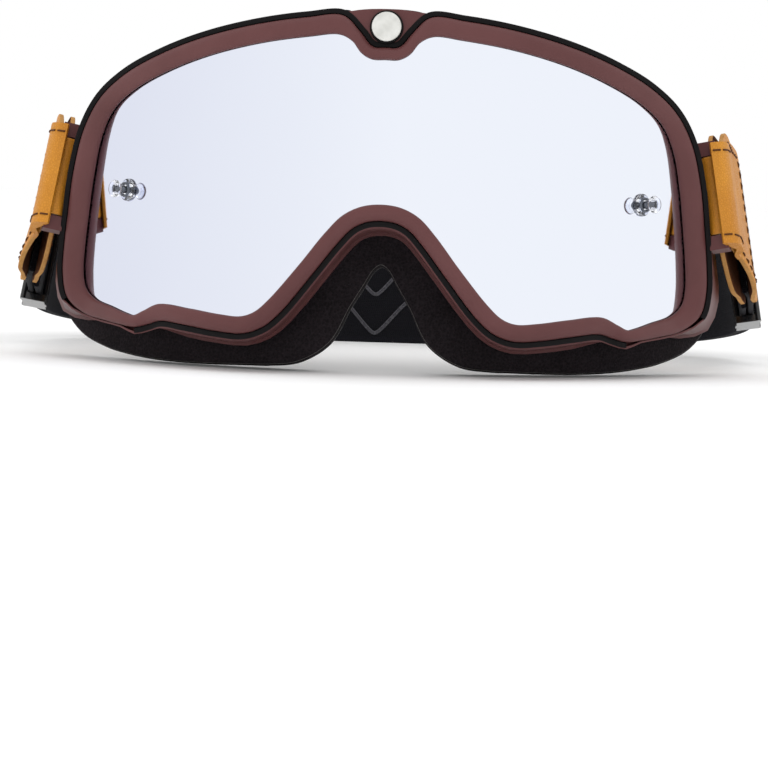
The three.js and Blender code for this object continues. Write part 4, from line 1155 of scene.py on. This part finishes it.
# The tab's top and bottom edges, as (along, up) points; its rear corners are rounded.
REAR_CORNER = [(45.2, 22.8), (47.1, 22.0), (48, 20.2)]
TAB_TOP = [(-4, 11), (3.4, 11), (18.2, 21.4), (20.6, 22.5), (23.5, 22.8), *REAR_CORNER]
TAB_FOOT = [(-4, -11), (3.4, -11), (22.2, -21.2), (24.8, -22.4), (27.5, -22.8)]
TAB_FOOT += [(along, -up) for along, up in REAR_CORNER]


def tab_height(line, along):
    xs, zs = zip(*line)
    return np.interp(along, xs, zs)


def bulge(along, up):
    """How far the outer ply stands off the inner one: most along the lower edge, behind the bar."""
    hump = np.sin(np.clip((along - 4) / 36, 0, 1) * math.pi) ** 0.9
    low = 0.35 + 0.65 * np.clip((6 - up) / 26, 0, 1) ** 1.2
    return 3.6 * hump * low


def ply_centre(along, up, outer):
    """How far out from the bar's plane the middle of a ply lies."""
    rest = np.interp(along, [0, 8, 34, 40, 48], [2.4, 0.9, 0.9, 1.75, 1.75])
    if outer:
        return rest + bulge(along, up)
    return -rest - 0.25 * bulge(along, up)


def make_tab():
    steps, tall = 84, 34
    thick = PLY / 2
    rows = []
    outer_line = np.linspace(TAB_LENGTH, 0, steps)
    turn = np.linspace(math.pi / 2, 1.5 * math.pi, 25)[1:-1]
    rise = np.linspace(0, 1, tall)

    def sheet(line, outer, face):
        """One face of one ply: a grid of points."""
        along = np.repeat(line[:, None], tall, 1)
        low, high = tab_height(TAB_FOOT, along), tab_height(TAB_TOP, along)
        up = low + (high - low) * rise
        out = ply_centre(along, up, outer) + face * thick
        return np.stack([along, out, up], -1)

    def wrap(face):
        grids = []
        radius = 2.4 + face * thick
        for angle in turn:
            along = radius * np.cos(angle)
            up = -11 + 22 * rise
            grids.append(np.stack([np.full(tall, along), np.full(tall, radius * np.sin(angle)), up], -1))
        return np.array(grids)

    # the skin runs from the outer ply's end, forward, round the bar and back along the inner ply
    inner_line = np.linspace(0, TAB_LENGTH, steps)
    skin = np.vstack([sheet(outer_line, True, 1), wrap(1), sheet(inner_line, False, -1)])
    lining = np.vstack([sheet(outer_line, True, -1), wrap(-1), sheet(inner_line, False, 1)])
    points, faces, looks = two_skins(skin, lining)
    points = on_bar(points)

    def build(side, flip):
        # the lining inside the loop carries the leather back's painted shade
        materials = [LEATHER, RAW_EDGE, LEATHER_BACK]
        piece = new_piece(f"tab_leather_{side}", points * flip, faces, materials, smooth=50)
        piece.data.polygons.foreach_set("material_index", looks)
        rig.replaces(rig.slot(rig.ride(piece, f"tab_{side}"), "leather"), f"leather_tab_{side}")
        round_edges = piece.modifiers.new("edge_rounding", "BEVEL")
        round_edges.width, round_edges.segments, round_edges.limit_method = 2.5e-4, 2, "ANGLE"
        round_edges.angle_limit = math.radians(50)

    pair(build)


# The front flap's section, from behind the bar round its front to the frame, as (along, out) points.
FLAP = [(10.5, 0), (8, 0), (5.8, 3.7), (2, 4.3), (-1.2, 4.2), (-3.4, 3.1), (-4.5, 0.9)]
FLAP_PLY = 1.1


def flap_section():
    """The flap's inner surface and its outward direction, as closely spaced (along, out) points."""
    section = spline(FLAP, np.linspace(0, len(FLAP) - 1, 60), False)
    resting = np.array([float(ply_centre(a, 0.0, True)) + 0.75 for a in section[:, 0]])
    section[:, 1] = np.where(section[:, 0] > 5.5, np.maximum(section[:, 1], resting), section[:, 1])
    ahead = np.gradient(section, axis=0)
    ahead /= np.linalg.norm(ahead, axis=1, keepdims=True)
    return section, np.stack([ahead[:, 1], -ahead[:, 0]], 1)


def flap_half(along):
    return np.interp(along, [-4.5, 2, 10.5], [14.3, 14.9, 16.4])


def make_tab_flap():
    """The leather laps forward over the bar and its lugs, with a seam along each edge."""
    section, normal = flap_section()
    loop = np.concatenate([section, (section + normal * FLAP_PLY)[::-1]])
    half = flap_half(np.concatenate([section, section[::-1]])[:, 0])
    rows = [np.stack([loop[:, 0], loop[:, 1], half * share], 1) for share in np.linspace(-1, 1, 36)]
    points, faces = loft(np.array(rows))
    points = on_bar(points)
    outside = section + normal * (FLAP_PLY + 0.12)
    run = np.concatenate([[0], np.cumsum(np.linalg.norm(np.diff(outside, axis=0), axis=1))])
    seams = []
    for sign in (-1, 1):
        for start in np.arange(1.0, run[-1] - STITCH, STITCH + STITCH_SPACE):
            places = np.linspace(start, start + STITCH, 6)
            along, out = (np.interp(places, run, outside[:, k]) for k in (0, 1))
            up = sign * (flap_half(along) - STITCH_INSET + 0.6)
            seams.append(tube(on_bar(np.stack([along, out, up], 1)), 0.26, 7, up=BAR_UP))
    seam_points, seam_faces = joined(seams)

    def build(side, flip):
        piece = new_piece(f"tab_flap_{side}", points * flip, faces, LEATHER, smooth=50)
        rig.slot(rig.ride(piece, f"tab_{side}"), "leather")
        piece = new_piece(f"flap_stitches_{side}", seam_points * flip, seam_faces, BROWN_THREAD, smooth=60)
        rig.slot(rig.ride(piece, f"tab_{side}"), "leather")

    pair(build)


STITCH, STITCH_SPACE, STITCH_INSET = 2.3, 1.0, 2.9


def seam_line():
    """The stitch line, inside the tab's edges, as closely spaced (along, up) points."""
    corners = [
        (4.5, 11 - 2.0), (18.6, 21.8 - STITCH_INSET), (21.5, 22.8 - STITCH_INSET), (42.8, 22.8 - STITCH_INSET),
        (TAB_LENGTH - STITCH_INSET, 17.6), (TAB_LENGTH - STITCH_INSET, -17.6), (42.8, STITCH_INSET - 22.8),
        (25.6, STITCH_INSET - 22.8), (22.6, STITCH_INSET - 21.8), (4.5, -11 + 2.0),
    ]
    corners = np.array(corners)
    steps = np.linalg.norm(np.diff(corners, axis=0), axis=1)
    run = np.concatenate([[0], np.cumsum(steps)])
    places = np.arange(0, run[-1], 0.1)
    return np.stack([np.interp(places, run, corners[:, k]) for k in (0, 1)], 1)


def make_tab_stitches():
    line = seam_line()
    pitch = int((STITCH + STITCH_SPACE) * 10)
    length = int(STITCH * 10)

    def rows_of(outer):
        parts = []
        for start in range(0, len(line) - length, pitch):
            piece = line[start : start + length : 4]
            share = np.linspace(0, 1, len(piece))
            lift = thick_face(piece, outer) + (1 if outer else -1) * (0.34 * np.sin(share * math.pi) - 0.12)
            path = on_bar(np.stack([piece[:, 0], lift, piece[:, 1]], 1))
            parts.append(tube(path, 0.3, 7, up=TAB_OUT))
        return parts

    def thick_face(piece, outer):
        centre = ply_centre(piece[:, 0], piece[:, 1], outer)
        return centre + (PLY / 2 if outer else -PLY / 2)

    points, faces = joined(rows_of(True) + rows_of(False))

    def build(side, flip):
        piece = new_piece(f"tab_stitches_{side}", points * flip, faces, BROWN_THREAD, smooth=60)
        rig.slot(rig.ride(piece, f"tab_{side}"), "leather")

    pair(build)


make_bars()
make_tab()
make_tab_flap()
make_tab_stitches()


# ---------------------------------------------------------------- strap
STRAP_WIDTH, STRAP_THICKNESS = 41.5, 1.5
TAB_END = BAR + TAB_ALONG * TAB_LENGTH
SIDE_X = TAB_END[0] + 5
STRAIGHT_END = TAB_END[1] + 10 + 38.7
LOOP_DEPTH = 44
REAR = STRAIGHT_END + LOOP_DEPTH
REAR_HEIGHT = (-STANDS_UP + STRAP_WIDTH / 2 + REAR * math.sin(LEAN_BACK)) / math.cos(LEAN_BACK)
REAR_UP = np.array([0, -math.sin(LEAN_BACK), math.cos(LEAN_BACK)])


def strap_height(y):
    return blend_to(TAB_END[2], REAR_HEIGHT, (y - TAB_END[1]) / (REAR - TAB_END[1]))


def strap_route():
    """The middle of the strap as closely spaced points, and how far along it each one is."""
    points = [BAR + TAB_ALONG * (TAB_LENGTH - 10), BAR + TAB_ALONG * (TAB_LENGTH - 5), TAB_END]
    for share in np.linspace(0, 1, 6):
        x, y = blend_to(TAB_END[0] + 1.5, SIDE_X, share), blend_to(TAB_END[1] + 10, STRAIGHT_END, share)
        points.append((x, y, strap_height(y)))
    for i in range(1, 8):
        turn = i / 7 * math.pi / 2
        x = 0 if i == 7 else SIDE_X * math.cos(turn) ** 0.78
        y = STRAIGHT_END + LOOP_DEPTH * math.sin(turn) ** 0.95
        points.append((x, y, strap_height(y)))
    points = np.array(points)
    points = np.vstack([points, points[-2::-1] * MIRROR_X])
    line = spline(points, np.linspace(0, len(points) - 1, 8001), False)
    run = np.concatenate([[0], np.cumsum(np.linalg.norm(np.diff(line, axis=0), axis=1))])
    return line, run


ROUTE, RUN = strap_route()
LOOP = RUN[-1]


def strap_frame(distance):
    """Middle, direction, up and outward at distances along the strap."""
    distance = np.asarray(distance, float)
    find = lambda d: np.stack([np.interp(d, RUN, ROUTE[:, k]) for k in range(3)], -1)
    centre = find(distance)
    ahead = find(np.minimum(distance + 0.2, LOOP)) - find(np.maximum(distance - 0.2, 0))
    ahead /= np.linalg.norm(ahead, axis=-1, keepdims=True)
    share = np.clip((centre[:, 1] - STRAIGHT_END + 4) / (REAR - STRAIGHT_END + 4), 0, 1)
    reach = (share * share * (3 - 2 * share))[:, None]
    tilted = np.tile(BAR_UP, (len(centre), 1))
    tilted[:, 0] *= np.where(centre[:, 0] < 0, -1, 1)
    up = tilted * (1 - reach) + REAR_UP * reach
    up -= ahead * (up * ahead).sum(-1, keepdims=True)
    up /= np.linalg.norm(up, axis=-1, keepdims=True)
    out = np.cross(ahead, up)
    return centre, ahead, up, out / np.linalg.norm(out, axis=-1, keepdims=True)


def band(first, last, outside, step=1.2):
    """A woven band from first to last along the strap, its outer face that far outside the middle line."""
    distance = np.linspace(first, last, max(int((last - first) / step), 4))
    centre, _, up, out = strap_frame(distance)
    half = STRAP_WIDTH / 2
    section = []
    for share in np.linspace(-1, 1, 21):
        section.append((share * (half - 0.35), outside))
    section += [(half, outside - 0.3), (half, outside - STRAP_THICKNESS + 0.3)]
    for share in np.linspace(1, -1, 21):
        section.append((share * (half - 0.35), outside - STRAP_THICKNESS))
    section += [(-half, outside - STRAP_THICKNESS + 0.3), (-half, outside - 0.3)]
    rows = [centre + up * a + out * b for a, b in section]
    points, faces = loft(np.stack(rows, 1))
    along = np.append(np.repeat(distance, len(section)), [first, last])
    across = np.append(np.tile([a for a, _ in section], len(distance)), [0, 0])
    return points, faces, along, across


SLIDER_Y = TAB_END[1] + 30.7
place_at_depth = lambda y: float(np.interp(y, ROUTE[: len(ROUTE) // 3, 1], RUN[: len(RUN) // 3]))
SLIDER_AT = place_at_depth(SLIDER_Y)
TAIL_FROM = place_at_depth(SLIDER_Y - 16)
SPLIT_AT = 0.28 * LOOP
SURFACE = STRAP_THICKNESS / 2
JOIN = 0.02


def strap_piece(name, shape, flip=np.ones(3)):
    points, faces, along, across = shape
    piece = new_piece(name, points * flip, faces, ELASTIC, smooth=50)
    carry(piece, "along", along)
    carry(piece, "across", across)
    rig.slot(piece, "webbing")
    return piece


def stretch_points(side):
    """Where the side bands start and stop following the tab, and start and stop following the back."""
    sign = 1 if side == "right" else -1
    at = lambda distance: Vector(stand(strap_frame([distance])[0][0] * (sign, 1, 1)))
    return at(12), at(SLIDER_AT - 9), at(SLIDER_AT + 9), at(SPLIT_AT - 4)


def make_strap():
    front = band(1.0, SLIDER_AT, SURFACE)
    back = band(SLIDER_AT + JOIN, SPLIT_AT, SURFACE)
    tail = band(TAIL_FROM, TAIL_FROM + 70, -SURFACE - 2 * GAP)

    def build(side, flip):
        leave, held, free, pulled = stretch_points(side)
        piece = strap_piece(f"strap_front_{side}", front, flip)
        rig.blend(piece, f"tab_{side}", "frame", leave, held)
        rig.sheet(piece, flat=(STRAP_WIDTH / 1000, (SLIDER_AT - 1) / 1000), held="stretched",
                 rests_on=[f"slider_body_{side}"])
        piece = strap_piece(f"strap_back_{side}", back, flip)
        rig.blend(piece, "frame", "strap_back", free, pulled)
        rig.replaces(piece, f"strap_side_{side}")
        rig.sheet(piece, flat=(STRAP_WIDTH / 1000, (SPLIT_AT - SLIDER_AT) / 1000), held="stretched",
                 rests_on=[f"slider_body_{side}"])
        piece = strap_piece(f"strap_fold_{side}", tail, flip)
        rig.blend(piece, "frame", "strap_back", free, pulled)
        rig.replaces(piece, f"strap_tail_{side}")
        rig.sheet(piece, flat=(STRAP_WIDTH / 1000, 0.07), held="stretched", rests_on=[f"slider_body_{side}"])

    for side in ("right", "left"):
        moulded_copy(f"slider_{side}", f"slider_body_{side}", GLOSS_BLACK, "gloss_black", f"slider_{side}", 30)
    pair(build)
    rear = strap_piece("strap_rear_band", band(SPLIT_AT + JOIN, LOOP - SPLIT_AT - JOIN, SURFACE))
    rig.replaces(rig.ride(rear, "strap_back"), "strap_rear")
    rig.sheet(rear, flat=(STRAP_WIDTH / 1000, (LOOP - 2 * SPLIT_AT) / 1000), held="stretched")


make_strap()


# ---------------------------------------------------------------- grip lines and strap stitches
def zigzag(first, last, row, inside):
    """A raised wavy line on the inside of the strap, with rounded peaks."""
    distance = np.arange(first, last, 0.5)
    centre, _, up, out = strap_frame(distance)
    period, swing = 22.0, 5.2
    wave = np.arcsin(0.93 * np.sin(2 * math.pi * distance / period)) / math.asin(0.93)
    path = centre + up * (row + swing * wave)[:, None] + out * inside
    points, faces = tube(path, 0.62, 8, flat=0.55, up=out)
    return points, faces


def make_grips():
    rows = (-12.5, 0.0, 12.5)
    inside = -SURFACE - 0.1
    rear = joined([zigzag(SPLIT_AT + 1, LOOP - SPLIT_AT - 1, row, inside) for row in rows])
    piece = new_piece("grip_lines_rear", *rear, SILICONE, smooth=60)
    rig.slot(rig.ride(piece, "strap_back"), "webbing")
    tail_end = TAIL_FROM + 70
    side_shape = joined([zigzag(tail_end + 1, SPLIT_AT - 0.5, row, inside) for row in rows])

    def build(side, flip):
        _, _, free, pulled = stretch_points(side)
        piece = new_piece(f"grip_lines_{side}", side_shape[0] * flip, side_shape[1], SILICONE, smooth=60)
        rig.blend(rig.slot(piece, "webbing"), "frame", "strap_back", free, pulled)

    if SPLIT_AT - tail_end > 6:
        pair(build)


def make_strap_stitches():
    """Bartacks across the folded end."""
    face = -SURFACE - 2 * GAP - STRAP_THICKNESS
    parts = []
    for distance in (TAIL_FROM + 66.5, TAIL_FROM + 68):
        for up_at in np.arange(-18.5, 18.6, 2.1):
            centre, ahead, up, out = (v[0] for v in strap_frame([distance]))
            ends = np.linspace(-0.75, 0.75, 5)
            path = [centre + up * (up_at + e) + out * (face - 0.12 + 0.1 * abs(e)) for e in ends]
            parts.append(tube(path, 0.2, 6, up=out))
    points, faces = joined(parts)

    def build(side, flip):
        _, _, free, pulled = stretch_points(side)
        piece = new_piece(f"fold_stitches_{side}", points * flip, faces, BLACK_THREAD, smooth=60)
        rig.blend(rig.slot(piece, "webbing"), "frame", "strap_back", free, pulled)

    pair(build)


make_grips()
make_strap_stitches()


# ---------------------------------------------------------------- studio
def make_studio():
    size = 12.0
    points = [(-size, -size, 0), (size, -size, 0), (size, size, 0), (-size, size, 0)]
    mesh = bpy.data.meshes.new("studio_floor")
    mesh.from_pydata(points, [], [(0, 1, 2, 3)])
    mesh.materials.append(pale_floor())
    floor = bpy.data.objects.new("studio_floor", mesh)
    bpy.context.scene.collection.objects.link(floor)
    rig.stage(floor)

    world = bpy.data.worlds.new("studio")
    world.use_nodes = True
    backdrop = world.node_tree.nodes["Background"]
    backdrop.inputs["Color"].default_value = (1.0, 1.0, 1.0, 1)
    backdrop.inputs["Strength"].default_value = 1.0
    bpy.context.scene.world = world

    def panel(name, place, aim, wide, tall, power):
        light = bpy.data.lights.new(name, "AREA")
        light.shape = "RECTANGLE"
        light.size, light.size_y, light.energy = wide, tall, power
        lamp = bpy.data.objects.new(name, light)
        lamp.location = place
        lamp.visible_glossy = False
        lamp.rotation_mode = "QUATERNION"
        lamp.rotation_quaternion = (Vector(aim) - Vector(place)).to_track_quat("-Z", "Y")
        bpy.context.scene.collection.objects.link(lamp)

    panel("key_panel", (0.25, -0.75, 1.3), (0, 0, 0.05), 1.2, 0.8, 3.5)
    panel("left_panel", (-1.2, -0.5, 0.6), (0, 0, 0.05), 0.8, 0.8, 2.5)
    bpy.context.scene.view_settings.view_transform = "Standard"


make_studio()

with open("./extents.json", "w") as notes:
    boxes = {"cad": cad_box, "visual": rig.bounds()}
    json.dump({name: [list(corner) for corner in box] for name, box in boxes.items()}, notes)
